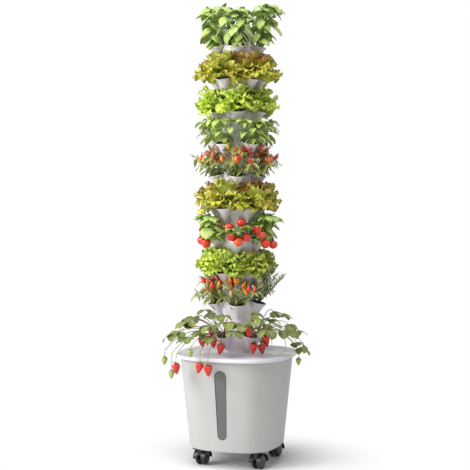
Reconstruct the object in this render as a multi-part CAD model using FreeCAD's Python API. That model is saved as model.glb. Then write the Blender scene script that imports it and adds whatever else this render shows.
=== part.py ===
"""Vertical planter: a stack of pocket tiers on a rolling water tub.

Lengths are in millimetres, +Z is up, the floor is Z = 0 and the tower's centre
line is the Z axis.  The level window faces -Y.  Tier 1 is the top tier.
"""
import FreeCAD
import Part
import math
import os
from FreeCAD import Vector

os.makedirs("parts", exist_ok=True)

# Tower sizes
TIER_COUNT = 10
POCKET_COUNT = 5
TIER_PITCH = 110.0
CUP_OPENING = 53.0
SHELL_WALL = 2.2
NECK_RADIUS = 54.0
POCKET_TILT = 14.0
FRONT_TURN = -71.5

# Water tub and lid sizes
TUB_HALF_TOP = 187.0
TUB_HALF_BOTTOM = 155.5
TUB_HEIGHT = 320.4
TUB_WALL = 3.0
LID_OVERHANG = 12.0
LID_SKIRT = 11.5
LID_PLATE = 3.5

# Pump and pipe sizes
PIPE_RADIUS = 10.0
PIPE_WALL = 2.0

# Caster sizes
WHEEL_RADIUS = 25.0
WHEEL_WIDTH = 14.4
CASTER_TRAIL = 17.0

# Planting sizes
LEAF_REACH = 66.0
FRUIT_RADIUS = 14.5

# Length of cuts that run right through a part
THROUGH = 400.0

# Fits
SLIP = 0.4
RUNNING = 0.08
REST = 0.3
SEAT = 0.05
PRESS = 0.03

# Heights that follow from the sizes above
PLATE_THICK = 2.5
TUB_BASE_Z = 2.0 * WHEEL_RADIUS + 11.0
TUB_TOP_Z = TUB_BASE_Z + TUB_HEIGHT
LID_TOP_Z = TUB_TOP_Z + LID_PLATE
FOOT_DISC = 3.0
TOWER_Z = LID_TOP_Z + FOOT_DISC
TOWER_TOP_Z = TOWER_Z + TIER_COUNT * TIER_PITCH

# Plan sizes that follow
LID_HALF = TUB_HALF_TOP + LID_OVERHANG
RING_RADIUS = NECK_RADIUS - 6.0 + CUP_OPENING / 2.0
RIM_RADIUS = CUP_OPENING / 2.0 + 3.5
POCKET_DEPTH = 0.53 * TIER_PITCH
RIM_HEIGHT = 0.56 * TIER_PITCH
SPIGOT_DEPTH = 8.0
SPIGOT_RADIUS = NECK_RADIUS - SHELL_WALL - SLIP
HUB_BORE = PIPE_RADIUS + 1.5
CASTER_OFFSET = 0.648 * TUB_HALF_BOTTOM
CASTER_TURNS = [-98.0, -102.0, -101.0, -95.0]
SIDE_SIGNS = [(-1, -1), (1, -1), (1, 1), (-1, 1)]


# Small shape helpers

def polar(radius, angle, z=0.0):
    a = math.radians(angle)
    return Vector(radius * math.cos(a), radius * math.sin(a), z)


def turned(points):
    """Solid of revolution about Z from (radius, height) points."""
    corners = [Vector(r, 0, z) for r, z in points]
    corners.append(corners[0])
    return Part.Face(Part.makePolygon(corners)).revolve(Vector(0, 0, 0), Vector(0, 0, 1), 360)


def tube(outer, inner, z_low, z_high):
    ring = Part.makeCylinder(outer, z_high - z_low, Vector(0, 0, z_low))
    return ring.cut(Part.makeCylinder(inner, z_high - z_low + 2.0, Vector(0, 0, z_low - 1.0)))


def moved(shape, x=0.0, y=0.0, z=0.0, turn=0.0):
    copy = shape.copy()
    copy.rotate(Vector(0, 0, 0), Vector(0, 0, 1), turn)
    copy.translate(Vector(x, y, z))
    return copy


def rounded_plate(half, thick, corner):
    """Square plate around the Z axis, from Z = 0 up, with rounded upright edges."""
    plate = Part.makeBox(2 * half, 2 * half, thick, Vector(-half, -half, 0))
    upright = [e for e in plate.Edges if abs(e.Vertexes[0].Z - e.Vertexes[1].Z) > thick / 2.0]
    return plate.makeFillet(corner, upright)


def ring_copies(shape, count, first=0.0):
    step = 360.0 / count
    return [moved(shape, turn=first + i * step) for i in range(count)]


def fused(shapes):
    first = shapes[0]
    return first.fuse(shapes[1:]) if len(shapes) > 1 else first


def save(name, shapes):
    """Write one node; a list becomes a compound of separate solids."""
    if isinstance(shapes, list):
        solids = []
        for shape in shapes:
            solids.extend(shape.Solids)
        shape = Part.makeCompound(solids)
    else:
        shape = shapes
        if len(shape.Solids) == 1:
            shape = shape.Solids[0]
    shape.exportStep("parts/" + name + ".step")


# Rounded square plan with bowed sides, used by the tub and the lid

def plan_wire(half, z):
    bulge = 0.045 * half
    reach = 0.44 * half
    bow = (reach * reach + bulge * bulge) / (2.0 * bulge)
    lean = math.asin(reach / bow)
    edge = half - bulge
    corner = (edge - reach) / (math.cos(lean) - math.sin(lean))
    centre = reach - corner * math.sin(lean)
    tip = centre + corner / math.sqrt(2.0)
    side = [(-reach, edge), (0.0, half), (reach, edge)]
    turn = [(reach, edge), (tip, tip), (edge, reach)]
    edges = []
    for quarter in range(4):
        angle = -math.pi / 2.0 * quarter
        for arc in (side, turn):
            spots = []
            for x, y in arc:
                px = x * math.cos(angle) - y * math.sin(angle)
                py = x * math.sin(angle) + y * math.cos(angle)
                spots.append(Vector(px, py, z))
            edges.append(Part.Arc(spots[0], spots[1], spots[2]).toShape())
    return Part.Wire(edges)


def plan_solid(sections):
    """Loft through (half width, height) sections."""
    return Part.makeLoft([plan_wire(half, z) for half, z in sections], True, True)


def tub_half(z):
    share = (z - TUB_BASE_Z) / TUB_HEIGHT
    return TUB_HALF_BOTTOM + (TUB_HALF_TOP - TUB_HALF_BOTTOM) * share


def tub_layer(inset, z_low, z_high):
    return plan_solid([(tub_half(z_low) - inset, z_low), (tub_half(z_high) - inset, z_high)])


# Level window outline on the front wall, wider at the top

WINDOW_LOW = TUB_BASE_Z + 0.137 * TUB_HEIGHT
WINDOW_HIGH = TUB_BASE_Z + 0.88 * TUB_HEIGHT
WINDOW_HALF_TOP = 21.5
WINDOW_HALF_LOW = 16.5
WINDOW_RECESS = 1.1
GASKET_RECESS = 0.3
GASKET_WIDTH = 1.9
BUTTON_RADIUS = 5.0
BUTTON_Z = WINDOW_LOW + 22.0


def window_prism(grow):
    top = WINDOW_HALF_TOP + grow
    low = WINDOW_HALF_LOW + grow
    z_top = WINDOW_HIGH - WINDOW_HALF_TOP
    z_low = WINDOW_LOW + WINDOW_HALF_LOW
    y = -TUB_HALF_TOP - 20.0
    upper = Part.Arc(Vector(-top, y, z_top), Vector(0, y, z_top + top), Vector(top, y, z_top))
    right = Part.makeLine(Vector(top, y, z_top), Vector(low, y, z_low))
    lower = Part.Arc(Vector(low, y, z_low), Vector(0, y, z_low - low), Vector(-low, y, z_low))
    left = Part.makeLine(Vector(-low, y, z_low), Vector(-top, y, z_top))
    wire = Part.Wire([upper.toShape(), right, lower.toShape(), left])
    return Part.Face(wire).extrude(Vector(0, TUB_HALF_TOP, 0))


# Tub

FLOOR_THICK = 4.0
BASE_ROUND = 8.0
FLANGE_THICK = 4.0
PAD_HALF = 24.0
PAD_HEIGHT = 12.0
PAD_CORNER = 5.0
FLOOR_RIB = 2.4
FLOOR_RIB_HEIGHT = 5.0
SCREW_OFFSET = 15.0
SCREW_RADIUS = 2.0
SCREW_LENGTH = 13.2
CABLE_HOLE = 8.0
CABLE_BORE = 3.5
CABLE_Z = TUB_TOP_Z - 30.0
GROMMET_LIP = 2.6
GROMMET_FLANGE = 2.0
SNOUT_LENGTH = 9.0
RIM_WIDTH = LID_OVERHANG - 4.7


def caster_spots():
    return [(sx * CASTER_OFFSET, sy * CASTER_OFFSET) for sx, sy in SIDE_SIGNS]


def screw_spots():
    spots = []
    for x, y in caster_spots():
        for sx, sy in SIDE_SIGNS:
            spots.append((x + sx * SCREW_OFFSET, y + sy * SCREW_OFFSET))
    return spots


def reservoir_tub():
    # Outside with a rounded bottom edge
    sections = []
    for i in range(5):
        a = math.radians(22.5 * i)
        z = TUB_BASE_Z + BASE_ROUND * (1.0 - math.sin(a))
        sections.insert(0, (tub_half(z) - BASE_ROUND * (1.0 - math.cos(a)), z))
    sections.append((tub_half(TUB_TOP_Z), TUB_TOP_Z))
    body = plan_solid(sections)
    # Rim flange
    flange_half = TUB_HALF_TOP + RIM_WIDTH
    body = body.fuse(plan_solid([(flange_half, TUB_TOP_Z - FLANGE_THICK), (flange_half, TUB_TOP_Z)]))
    # Inside
    floor_z = TUB_BASE_Z + FLOOR_THICK
    body = body.cut(tub_layer(TUB_WALL, floor_z, TUB_TOP_Z + 1.0))
    # Pads that take the caster screws
    pads = []
    for x, y in caster_spots():
        pad = rounded_plate(PAD_HALF, PAD_HEIGHT, PAD_CORNER)
        pad = moved(pad, x, y, floor_z - 1.0)
        pads.append(pad.common(tub_layer(TUB_WALL - 1.0, floor_z - 1.0, TUB_TOP_Z)))
    body = body.fuse(pads)
    # Low cross ribs on the floor between the pads
    reach = CASTER_OFFSET - PAD_HALF + 2.0
    corner = Vector(-reach, CASTER_OFFSET - FLOOR_RIB / 2, 0)
    rib = Part.makeBox(2 * reach, FLOOR_RIB, FLOOR_RIB_HEIGHT + 1.0, corner)
    body = body.fuse(ring_copies(moved(rib, z=floor_z - 1.0), 4))
    # Window hole, cable hole and screw pilots
    tools = [window_prism(0.0)]
    tools.append(Part.makeCylinder(CABLE_HOLE, THROUGH, Vector(0, 0, CABLE_Z), Vector(0, 1, 0)))
    pilot_depth = SCREW_LENGTH - PLATE_THICK + 1.8
    for x, y in screw_spots():
        tools.append(Part.makeCylinder(SCREW_RADIUS + SEAT, pilot_depth, Vector(x, y, TUB_BASE_Z - 1.0)))
    return body.cut(tools)


def wall_skin(recess):
    """Layer of the tub's wall that is set back by a recess and 0.6 mm deeper than the wall."""
    skin = tub_layer(recess, WINDOW_LOW - 10.0, WINDOW_HIGH + 10.0)
    return skin.cut(tub_layer(TUB_WALL + 0.6, WINDOW_LOW - 20.0, WINDOW_HIGH + 20.0))


def level_window():
    # Smoked strip that sits in the wall inside its gasket, with a small ringed button at its foot
    strip = wall_skin(WINDOW_RECESS).common(window_prism(-0.1 - GASKET_WIDTH - SEAT))
    face = tub_half(BUTTON_Z) - GASKET_RECESS
    button = Part.makeCylinder(BUTTON_RADIUS, TUB_WALL - 1.0, Vector(0, -face, BUTTON_Z), Vector(0, 1, 0))
    groove = tube(0.76 * BUTTON_RADIUS, 0.5 * BUTTON_RADIUS, -1.0, 0.5)
    groove.rotate(Vector(0, 0, 0), Vector(1, 0, 0), -90)
    groove.translate(Vector(0, -face, BUTTON_Z))
    return strip.fuse(button).cut(groove)


def window_gasket():
    return wall_skin(GASKET_RECESS).common(window_prism(-0.1)).cut(window_prism(-0.1 - GASKET_WIDTH))


def cable_grommet():
    # Rubber ring around the cable hole in the middle of the rear wall, with a snout that grips the cable
    slope = (TUB_HALF_TOP - TUB_HALF_BOTTOM) / TUB_HEIGHT
    flange = CABLE_HOLE + GROMMET_LIP
    groove = TUB_WALL + 2.0 * flange * slope + SLIP
    half = groove / 2.0
    neck = CABLE_HOLE - 0.1
    relief = CABLE_BORE + 1.0
    lip = half + GROMMET_FLANGE
    tip = half + 1.0 + SNOUT_LENGTH
    ring = turned([(relief, -lip), (flange, -lip), (flange, -half), (neck, -half), (neck, half),
                   (flange, half), (flange, lip), (CABLE_BORE + 2.6, lip), (CABLE_BORE + 1.6, tip),
                   (CABLE_BORE, tip), (CABLE_BORE, half + 1.0), (relief, half + 0.5)])
    ring.rotate(Vector(0, 0, 0), Vector(1, 0, 0), -90)
    ring.translate(Vector(0, tub_half(CABLE_Z) - TUB_WALL / 2.0, CABLE_Z))
    return ring


# Lid

HATCH_TURN = 135.0
HATCH_HOLE = 24.0
FILLER_RADIUS = HATCH_HOLE + 4.0
FILLER_FLANGE = 2.0
FILLER_DEPTH = 7.0
HATCH_RADIUS = 29.0
HATCH_THICK = 3.0
HATCH_REACH = 0.80 * LID_HALF
HINGE_REACH = HATCH_REACH + HATCH_RADIUS + 5.0
HINGE_RISE = 3.4
HINGE_PIN = 1.5
GROOVE_WIDTH = 3.0
GROOVE_DEPTH = 1.2
DISC_WIDTH = 46.0
LID_ROUND = 3.0
LID_WALL = 3.2
LID_RIB = 2.4
LID_RIB_HEIGHT = 8.0
DRAIN_RADIUS = 3.5
EAR_RADIUS = 3.2
EAR_LOW = 9.0
EAR_HIGH = 15.0
SEAT_COLLAR = SPIGOT_RADIUS + SLIP + 3.0
SEAT_Z = TOWER_Z - SPIGOT_DEPTH - 0.5


def hinge_bar(radius, low, high, rise=HINGE_RISE):
    # Bar along the hinge line, built for a hatch on the +X axis
    start = Vector(HINGE_REACH, low, LID_TOP_Z + rise)
    return Part.makeCylinder(radius, high - low, start, Vector(0, 1, 0))


def lid_plate():
    # Plate with a rounded upper edge, a skirt around the tub's rim and two grooves along the edge
    z_low = LID_TOP_Z - LID_SKIRT
    sections = [(LID_HALF, z_low)]
    for i in range(4):
        a = math.radians(30.0 * i)
        inset = LID_ROUND * (1.0 - math.cos(a))
        sections.append((LID_HALF - inset, LID_TOP_Z - LID_ROUND + LID_ROUND * math.sin(a)))
    body = plan_solid(sections)
    inner = LID_HALF - LID_WALL
    body = body.cut(plan_solid([(inner, z_low - 1.0), (inner, TUB_TOP_Z + SEAT)]))
    for share in (0.81, 0.66):
        outer = LID_HALF * share
        groove = plan_solid([(outer, LID_TOP_Z - GROOVE_DEPTH), (outer, LID_TOP_Z + 1.0)])
        core = plan_solid([(outer - GROOVE_WIDTH, LID_TOP_Z - 3.0), (outer - GROOVE_WIDTH, LID_TOP_Z + 2.0)])
        body = body.cut(groove.cut(core))
    return body


def foot_seat():
    # Raised foot disc and the collar that holds the tower's foot
    disc = NECK_RADIUS + DISC_WIDTH
    seat = turned([(0, LID_TOP_Z - 1.0), (disc, LID_TOP_Z - 1.0), (disc, LID_TOP_Z + 0.5),
                   (disc - 4.0, TOWER_Z), (0, TOWER_Z)])
    return seat.fuse(Part.makeCylinder(SEAT_COLLAR, TOWER_Z - SEAT_Z + 2.5, Vector(0, 0, SEAT_Z - 3.0)))


def lid_ribs():
    # Ribs under the plate, clear of the tub's mouth and of the filler hole
    span = TUB_HALF_TOP - TUB_WALL - 8.0 - SEAT_COLLAR + 1.0
    corner = Vector(SEAT_COLLAR - 1.0, -LID_RIB / 2.0, TUB_TOP_Z - LID_RIB_HEIGHT)
    rib = Part.makeBox(span, LID_RIB, LID_RIB_HEIGHT + 1.0, corner)
    slanted = ring_copies(rib, 4, 45.0)
    return ring_copies(rib, 4, 0.0) + slanted[0:1] + slanted[2:]


def lid_openings():
    # Foot socket, pipe hole, drain holes and the seat of the filler collar
    tools = [Part.makeCylinder(SPIGOT_RADIUS + SLIP, THROUGH, Vector(0, 0, SEAT_Z))]
    tools.append(Part.makeCylinder(HUB_BORE, THROUGH, Vector(0, 0, SEAT_Z - THROUGH / 2.0)))
    drain = Part.makeCylinder(DRAIN_RADIUS, THROUGH, Vector(0.58 * SPIGOT_RADIUS, 0, SEAT_Z - THROUGH / 2.0))
    tools.extend(ring_copies(drain, 8))
    start = Vector(HATCH_REACH, 0, LID_TOP_Z - THROUGH / 2.0)
    tools.append(moved(Part.makeCylinder(FILLER_RADIUS + PRESS, THROUGH, start), turn=HATCH_TURN))
    return tools


def hatch_ears():
    ears = []
    for low, high in ((-EAR_HIGH, -EAR_LOW), (EAR_LOW, EAR_HIGH)):
        ear = hinge_bar(EAR_RADIUS, low, high)
        corner = Vector(HINGE_REACH - EAR_RADIUS, low, LID_TOP_Z - 1.0)
        foot = Part.makeBox(2 * EAR_RADIUS, high - low, HINGE_RISE + 1.0, corner)
        ear = ear.fuse(foot).cut(hinge_bar(HINGE_PIN + PRESS, low - 1.0, high + 1.0))
        ears.append(moved(ear, turn=HATCH_TURN))
    return ears


def lid():
    body = lid_plate().fuse([foot_seat()]).fuse(lid_ribs())
    return body.cut(lid_openings()).fuse(hatch_ears())


def filler_collar():
    # Ring pressed into the lid from below, with a flange under the plate
    low = LID_TOP_Z - FILLER_DEPTH
    ring = tube(FILLER_RADIUS, HATCH_HOLE, low, LID_TOP_Z)
    flange = tube(FILLER_RADIUS + FILLER_FLANGE, HATCH_HOLE, low, TUB_TOP_Z + SEAT)
    collar = ring.fuse(flange)
    collar.translate(Vector(HATCH_REACH, 0, 0))
    return moved(collar, turn=HATCH_TURN)


def filler_hatch():
    z = LID_TOP_Z + REST
    disc = Part.makeCylinder(HATCH_RADIUS, HATCH_THICK, Vector(HATCH_REACH, 0, z))
    plug = tube(HATCH_HOLE - 1.5, HATCH_HOLE - 3.5, z - 4.0, z + 0.5)
    plug.translate(Vector(HATCH_REACH, 0, 0))
    half = EAR_LOW - 0.5
    arm = Part.makeBox(12.0, 2 * half, HATCH_THICK, Vector(HINGE_REACH - 12.0, -half, z))
    knuckle = hinge_bar(EAR_RADIUS - 0.2, -half, half)
    tab = Part.makeCylinder(9.0, HATCH_THICK, Vector(HATCH_REACH - HATCH_RADIUS, 0, z))
    body = disc.fuse([plug, arm, knuckle, tab])
    dent = Part.makeSphere(16.0, Vector(HATCH_REACH, 0, z + HATCH_THICK + 14.6))
    body = body.cut([dent, hinge_bar(HINGE_PIN + RUNNING, -EAR_LOW, EAR_LOW)])
    return moved(body, turn=HATCH_TURN)


def hatch_pin():
    return moved(hinge_bar(HINGE_PIN, -EAR_HIGH, EAR_HIGH), turn=HATCH_TURN)


# Pump and riser pipe

PUMP_HALF_X = 32.0
PUMP_HALF_Y = 24.0
PUMP_FOOT = 5.0
PUMP_HEIGHT = 44.0
PUMP_Z = TUB_BASE_Z + FLOOR_THICK + PUMP_FOOT
NOZZLE_RADIUS = PIPE_RADIUS - PIPE_WALL - 0.25
PIPE_LOW_Z = PUMP_Z + PUMP_HEIGHT + 3.0
PIPE_JOINT_Z = TOWER_Z + 3.0 * TIER_PITCH + 0.56 * TIER_PITCH
PIPE_TOP_Z = TOWER_TOP_Z - 7.0


def pump_body():
    corner = Vector(-PUMP_HALF_X, -PUMP_HALF_Y, PUMP_Z)
    box = Part.makeBox(2 * PUMP_HALF_X, 2 * PUMP_HALF_Y, PUMP_HEIGHT, corner)
    body = box.makeFillet(5.0, [e for e in box.Edges if abs(e.Vertexes[0].Z - e.Vertexes[1].Z) > 1.0])
    body = body.fuse(Part.makeCylinder(NOZZLE_RADIUS, 22.0, Vector(0, 0, PUMP_Z + PUMP_HEIGHT - 1.0)))
    # Outlet channel and the chamber with its intake slots
    tools = [Part.makeCylinder(NOZZLE_RADIUS - 1.8, PUMP_HEIGHT, Vector(0, 0, PUMP_Z + 22.0))]
    corner = Vector(-12.0, -PUMP_HALF_Y + 4.0, PUMP_Z + 8.0)
    tools.append(Part.makeBox(24.0, 2 * PUMP_HALF_Y - 8.0, 24.0, corner))
    for i in range(5):
        tools.append(Part.makeBox(2.4, 10.0, 20.0, Vector(-9.6 + 4.2 * i, -PUMP_HALF_Y - 3.0, PUMP_Z + 10.0)))
    return body.cut(tools)


def pump_feet():
    foot = turned([(0, 0), (7.0, 0), (4.5, PUMP_FOOT - 2.0), (4.5, PUMP_FOOT), (0, PUMP_FOOT)])
    z = PUMP_Z - PUMP_FOOT
    return [moved(foot, sx * (PUMP_HALF_X - 10.0), sy * (PUMP_HALF_Y - 9.0), z) for sx, sy in SIDE_SIGNS]


def pipe_lower():
    return tube(PIPE_RADIUS, PIPE_RADIUS - PIPE_WALL, PIPE_LOW_Z, PIPE_JOINT_Z)


def pipe_upper():
    return tube(PIPE_RADIUS, PIPE_RADIUS - PIPE_WALL, PIPE_JOINT_Z, PIPE_TOP_Z)


def pipe_coupler():
    return tube(PIPE_RADIUS + 2.6, PIPE_RADIUS + 0.05, PIPE_JOINT_Z - 20.0, PIPE_JOINT_Z + 20.0)


# Tier with its five pockets

HUB_HEIGHT = 16.0
DRIP_RADIUS = 2.5


def pocket_place(shape, angle):
    """Put a pocket-frame shape on the tier: its Z axis leans outward, its rim is at Z = 0."""
    copy = shape.copy()
    copy.rotate(Vector(0, 0, 0), Vector(0, 1, 0), POCKET_TILT)
    copy.translate(Vector(RING_RADIUS, 0, RIM_HEIGHT))
    copy.rotate(Vector(0, 0, 0), Vector(0, 0, 1), angle)
    return copy


def pocket_solid(inset):
    """Slightly rounded cone that narrows to a blunt tip, with its rim plane at Z = 0."""
    top = CUP_OPENING / 2.0 + 2.0
    outline = [(0.15, -0.95), (0.38, -0.70), (0.66, -0.40), (0.93, -0.10), (1.0, 0.0)]
    points = [(0.0, inset - POCKET_DEPTH)]
    for r_share, z_share in outline:
        lift = inset * 0.6 if z_share < -0.9 else 0.0
        points.append((top * r_share - inset, POCKET_DEPTH * z_share + lift))
    if inset > 0:
        points.append((top - inset, 1.0))
        points.append((0.0, 1.0))
    else:
        points.append((0.0, 0.0))
    return turned(points)


def pocket_rim():
    """Rolled lip around the pocket's mouth."""
    inner = CUP_OPENING / 2.0
    return turned([(inner, -5.0), (RIM_RADIUS - 1.2, -5.0), (RIM_RADIUS, -3.8), (RIM_RADIUS, -0.8),
                   (RIM_RADIUS - 0.8, 0.0), (inner, 0.0)])


def column_solid(inset, floor):
    web = RING_RADIUS - 11.5
    foot = NECK_RADIUS - 1.5
    top = TIER_PITCH + (1.0 if inset else 0.0)
    return turned([(0.0, floor), (foot - inset, floor), (foot - inset, 0.07 * TIER_PITCH),
                   (web - inset, 0.34 * TIER_PITCH), (web - inset, 0.56 * TIER_PITCH),
                   (NECK_RADIUS - inset, 0.76 * TIER_PITCH), (NECK_RADIUS - inset, top), (0.0, top)])


def tier_shell():
    """One tier with its base at Z = 0 and its first pocket towards +X."""
    step = 360.0 / POCKET_COUNT
    angles = [i * step for i in range(POCKET_COUNT)]
    clear = Part.makeCylinder(RIM_RADIUS + REST, TIER_PITCH, Vector(0, 0, 0))
    wide = Part.makeCylinder(RIM_RADIUS + REST + SHELL_WALL, TIER_PITCH, Vector(0, 0, -SHELL_WALL))
    # Outside: column dented beside each mouth, plus pockets and lips
    outside = column_solid(0.0, 0.0)
    outside = outside.cut([pocket_place(clear, a) for a in angles])
    outside = outside.fuse([pocket_place(pocket_solid(0.0), a) for a in angles])
    # Inside: the same forms one wall further in
    inside = column_solid(SHELL_WALL, SHELL_WALL)
    inside = inside.cut([pocket_place(wide, a) for a in angles])
    inside = inside.fuse([pocket_place(pocket_solid(SHELL_WALL), a) for a in angles])
    shell = outside.cut(inside)
    shell = shell.fuse([pocket_place(pocket_rim(), a) for a in angles])
    # Spigot that drops into the neck of the tier below, the socket for the next spigot, and the pipe hub
    spigot = tube(SPIGOT_RADIUS, SPIGOT_RADIUS - 2.0, -SPIGOT_DEPTH, 1.0)
    hub = Part.makeCylinder(HUB_BORE + SHELL_WALL, HUB_HEIGHT, Vector(0, 0, 0.5))
    shell = shell.fuse([spigot, hub])
    tools = [Part.makeCylinder(HUB_BORE, 2 * HUB_HEIGHT + SPIGOT_DEPTH, Vector(0, 0, -SPIGOT_DEPTH - 1.0))]
    socket_low = TIER_PITCH - SPIGOT_DEPTH - 1.0
    tools.append(Part.makeCylinder(NECK_RADIUS - SHELL_WALL, SPIGOT_DEPTH + 2.0, Vector(0, 0, socket_low)))
    drip = Part.makeCylinder(DRIP_RADIUS, 2 * SPIGOT_DEPTH, Vector(0.6 * NECK_RADIUS, 0, -SPIGOT_DEPTH))
    tools.extend(ring_copies(drip, 2 * POCKET_COUNT, 18.0))
    return shell.cut(tools)


def tier_z(number):
    return TOWER_Z + (TIER_COUNT - number) * TIER_PITCH


def tier_turn(number):
    """Neighbouring tiers are turned by half a pocket step."""
    half_step = 180.0 / POCKET_COUNT
    return FRONT_TURN + (half_step if number % 2 == 0 else 0.0)


def pocket_angles(number):
    step = 360.0 / POCKET_COUNT
    return [tier_turn(number) + i * step for i in range(POCKET_COUNT)]


def on_tier(shape, number, angle):
    """Put a pocket-frame shape into a pocket of a numbered tier."""
    return moved(pocket_place(shape, angle), z=tier_z(number))


# Net cup and its growing medium, in the pocket's frame

CUP_TOP = CUP_OPENING / 2.0 - 1.4
CUP_LOW = 0.32 * CUP_TOP
CUP_DEPTH = 0.55 * POCKET_DEPTH
CUP_WALL = 1.4
PLUG_TOP = -0.5


def net_cup():
    wall = CUP_WALL
    outer = [(0.0, -CUP_DEPTH), (CUP_LOW, -CUP_DEPTH), (CUP_TOP, 0.0), (RIM_RADIUS - 1.2, 0.0),
             (RIM_RADIUS - 1.2, 1.5), (CUP_TOP - wall, 1.5), (CUP_TOP - wall, 0.0),
             (CUP_LOW - wall, -CUP_DEPTH + wall), (0.0, -CUP_DEPTH + wall)]
    body = turned(outer)
    slot = Part.makeBox(CUP_TOP + 4.0, 4.0, 0.6 * CUP_DEPTH, Vector(0, -2.0, -0.86 * CUP_DEPTH))
    return body.cut(ring_copies(slot, 6))


def medium_plug():
    wall = CUP_WALL
    slope = (CUP_TOP - CUP_LOW) / (CUP_DEPTH - wall)
    top = -2.0
    return turned([(0.0, REST - CUP_DEPTH + wall), (CUP_LOW - wall - REST, REST - CUP_DEPTH + wall),
                   (CUP_TOP - wall - REST + slope * top, top), (CUP_TOP * 0.5, PLUG_TOP), (0.0, PLUG_TOP)])


# Top distributor and cap

DISH_DEPTH = 0.19 * TIER_PITCH - 6.9
DISH_WALL = 2.0


def distributor():
    # Dish that hangs in the top tier's neck and spreads the water over its holes
    hub = PIPE_RADIUS + 3.0
    wall = NECK_RADIUS - SHELL_WALL - 4.0
    floor = DISH_WALL - DISH_DEPTH
    dish = turned([(PIPE_RADIUS + REST, -DISH_DEPTH), (wall, -DISH_DEPTH), (wall, 0.0), (NECK_RADIUS, 0.0),
                   (NECK_RADIUS, DISH_WALL), (wall - DISH_WALL, DISH_WALL), (wall - DISH_WALL, floor),
                   (hub, floor), (hub, floor + 4.0), (PIPE_RADIUS + REST, floor + 4.0)])
    hole = Part.makeCylinder(1.6, DISH_DEPTH, Vector(0.5 * wall, 0, -1.5 * DISH_DEPTH))
    return moved(dish.cut(ring_copies(hole, 2 * POCKET_COUNT)), z=TOWER_TOP_Z)


def top_cap():
    outer = NECK_RADIUS
    plug = NECK_RADIUS - SHELL_WALL - 6.6
    cap = turned([(plug - 2.0, -4.0), (plug, -4.0), (plug, 0.2), (outer, 0.2), (outer, 6.0),
                  (outer - 3.0, 9.0), (outer - 20.0, 14.0), (0.0, 16.0), (0.0, 13.6), (outer - 21.0, 11.6),
                  (plug - 2.0, 6.0)])
    return moved(cap, z=TOWER_TOP_Z + DISH_WALL)


# Casters: fixed mount, swivelling hood, axle and two wheels

def caster_place(shape, index):
    x, y = caster_spots()[index]
    return moved(shape, x, y, 0.0, CASTER_TURNS[index])


def axle_bar(radius, low, high):
    return Part.makeCylinder(radius, high - low, Vector(-CASTER_TRAIL, low, WHEEL_RADIUS), Vector(0, 1, 0))


KINGPIN = 4.0
KINGPIN_LOW = WHEEL_RADIUS + 11.0
PIN_HEAD = 2.4
RACE_RADIUS = 9.0
RACE_THICK = 1.2
CASTER_PLATE_HALF = 21.0
WEB_HALF = 6.2
AXLE_RADIUS = 3.0
HOOD_GAP = 1.6
HOOD_WALL = 2.0
TREAD_WIDTH = 4.6
WHEEL_HUB = 9.0
CAP_WALL = 1.4


def caster_mount(index):
    z_low = TUB_BASE_Z - PLATE_THICK
    plate = moved(rounded_plate(CASTER_PLATE_HALF, PLATE_THICK, PAD_CORNER), z=z_low)
    pin = Part.makeCylinder(KINGPIN, z_low - KINGPIN_LOW + 0.5, Vector(0, 0, KINGPIN_LOW))
    head = Part.makeCylinder(KINGPIN + 1.8, PIN_HEAD, Vector(0, 0, KINGPIN_LOW - PIN_HEAD))
    race = Part.makeCylinder(RACE_RADIUS, RACE_THICK + 0.3, Vector(0, 0, z_low - RACE_THICK))
    body = plate.fuse([pin, head, race])
    sink = turned([(0, -1.0), (SCREW_RADIUS + 3.2, -1.0), (SCREW_RADIUS + 0.2, 2.2),
                   (SCREW_RADIUS + 0.2, 4.0), (0, 4.0)])
    holes = [moved(sink, sx * SCREW_OFFSET, sy * SCREW_OFFSET, z_low) for sx, sy in SIDE_SIGNS]
    body = body.cut(holes)
    x, y = caster_spots()[index]
    return moved(body, x, y)


def caster_hood(index):
    outer = WHEEL_RADIUS + HOOD_GAP + HOOD_WALL
    half = WEB_HALF + WHEEL_WIDTH + 1.6
    body = axle_bar(outer, -half, half)
    # Keep the upper part, and a hub around the axle
    keep = Part.makeBox(4 * outer, 4 * outer, 2 * outer, Vector(-3 * outer, -2 * outer, WHEEL_RADIUS - 2.0))
    body = body.common(keep)
    hub = axle_bar(AXLE_RADIUS + 6.0, -WEB_HALF, WEB_HALF)
    boss_top = TUB_BASE_Z - PLATE_THICK - RACE_THICK - REST
    boss_low = KINGPIN_LOW + REST
    boss = Part.makeCylinder(RACE_RADIUS + 1.0, boss_top - boss_low, Vector(0, 0, boss_low))
    body = body.fuse([hub, boss])
    # Room for both wheels, the pin's head and the bores
    space = WHEEL_RADIUS + HOOD_GAP
    tools = [axle_bar(space, WEB_HALF, half + 5.0), axle_bar(space, -half - 5.0, -WEB_HALF)]
    corner = Vector(-KINGPIN - 3.5, -WEB_HALF - 1.0, 0.0)
    tools.append(Part.makeBox(outer, 2 * WEB_HALF + 2.0, KINGPIN_LOW + REST, corner))
    tools.append(Part.makeCylinder(KINGPIN + RUNNING, TUB_BASE_Z, Vector(0, 0, 0)))
    tools.append(axle_bar(AXLE_RADIUS + RUNNING, -half, half))
    return caster_place(body.cut(tools), index)


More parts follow.
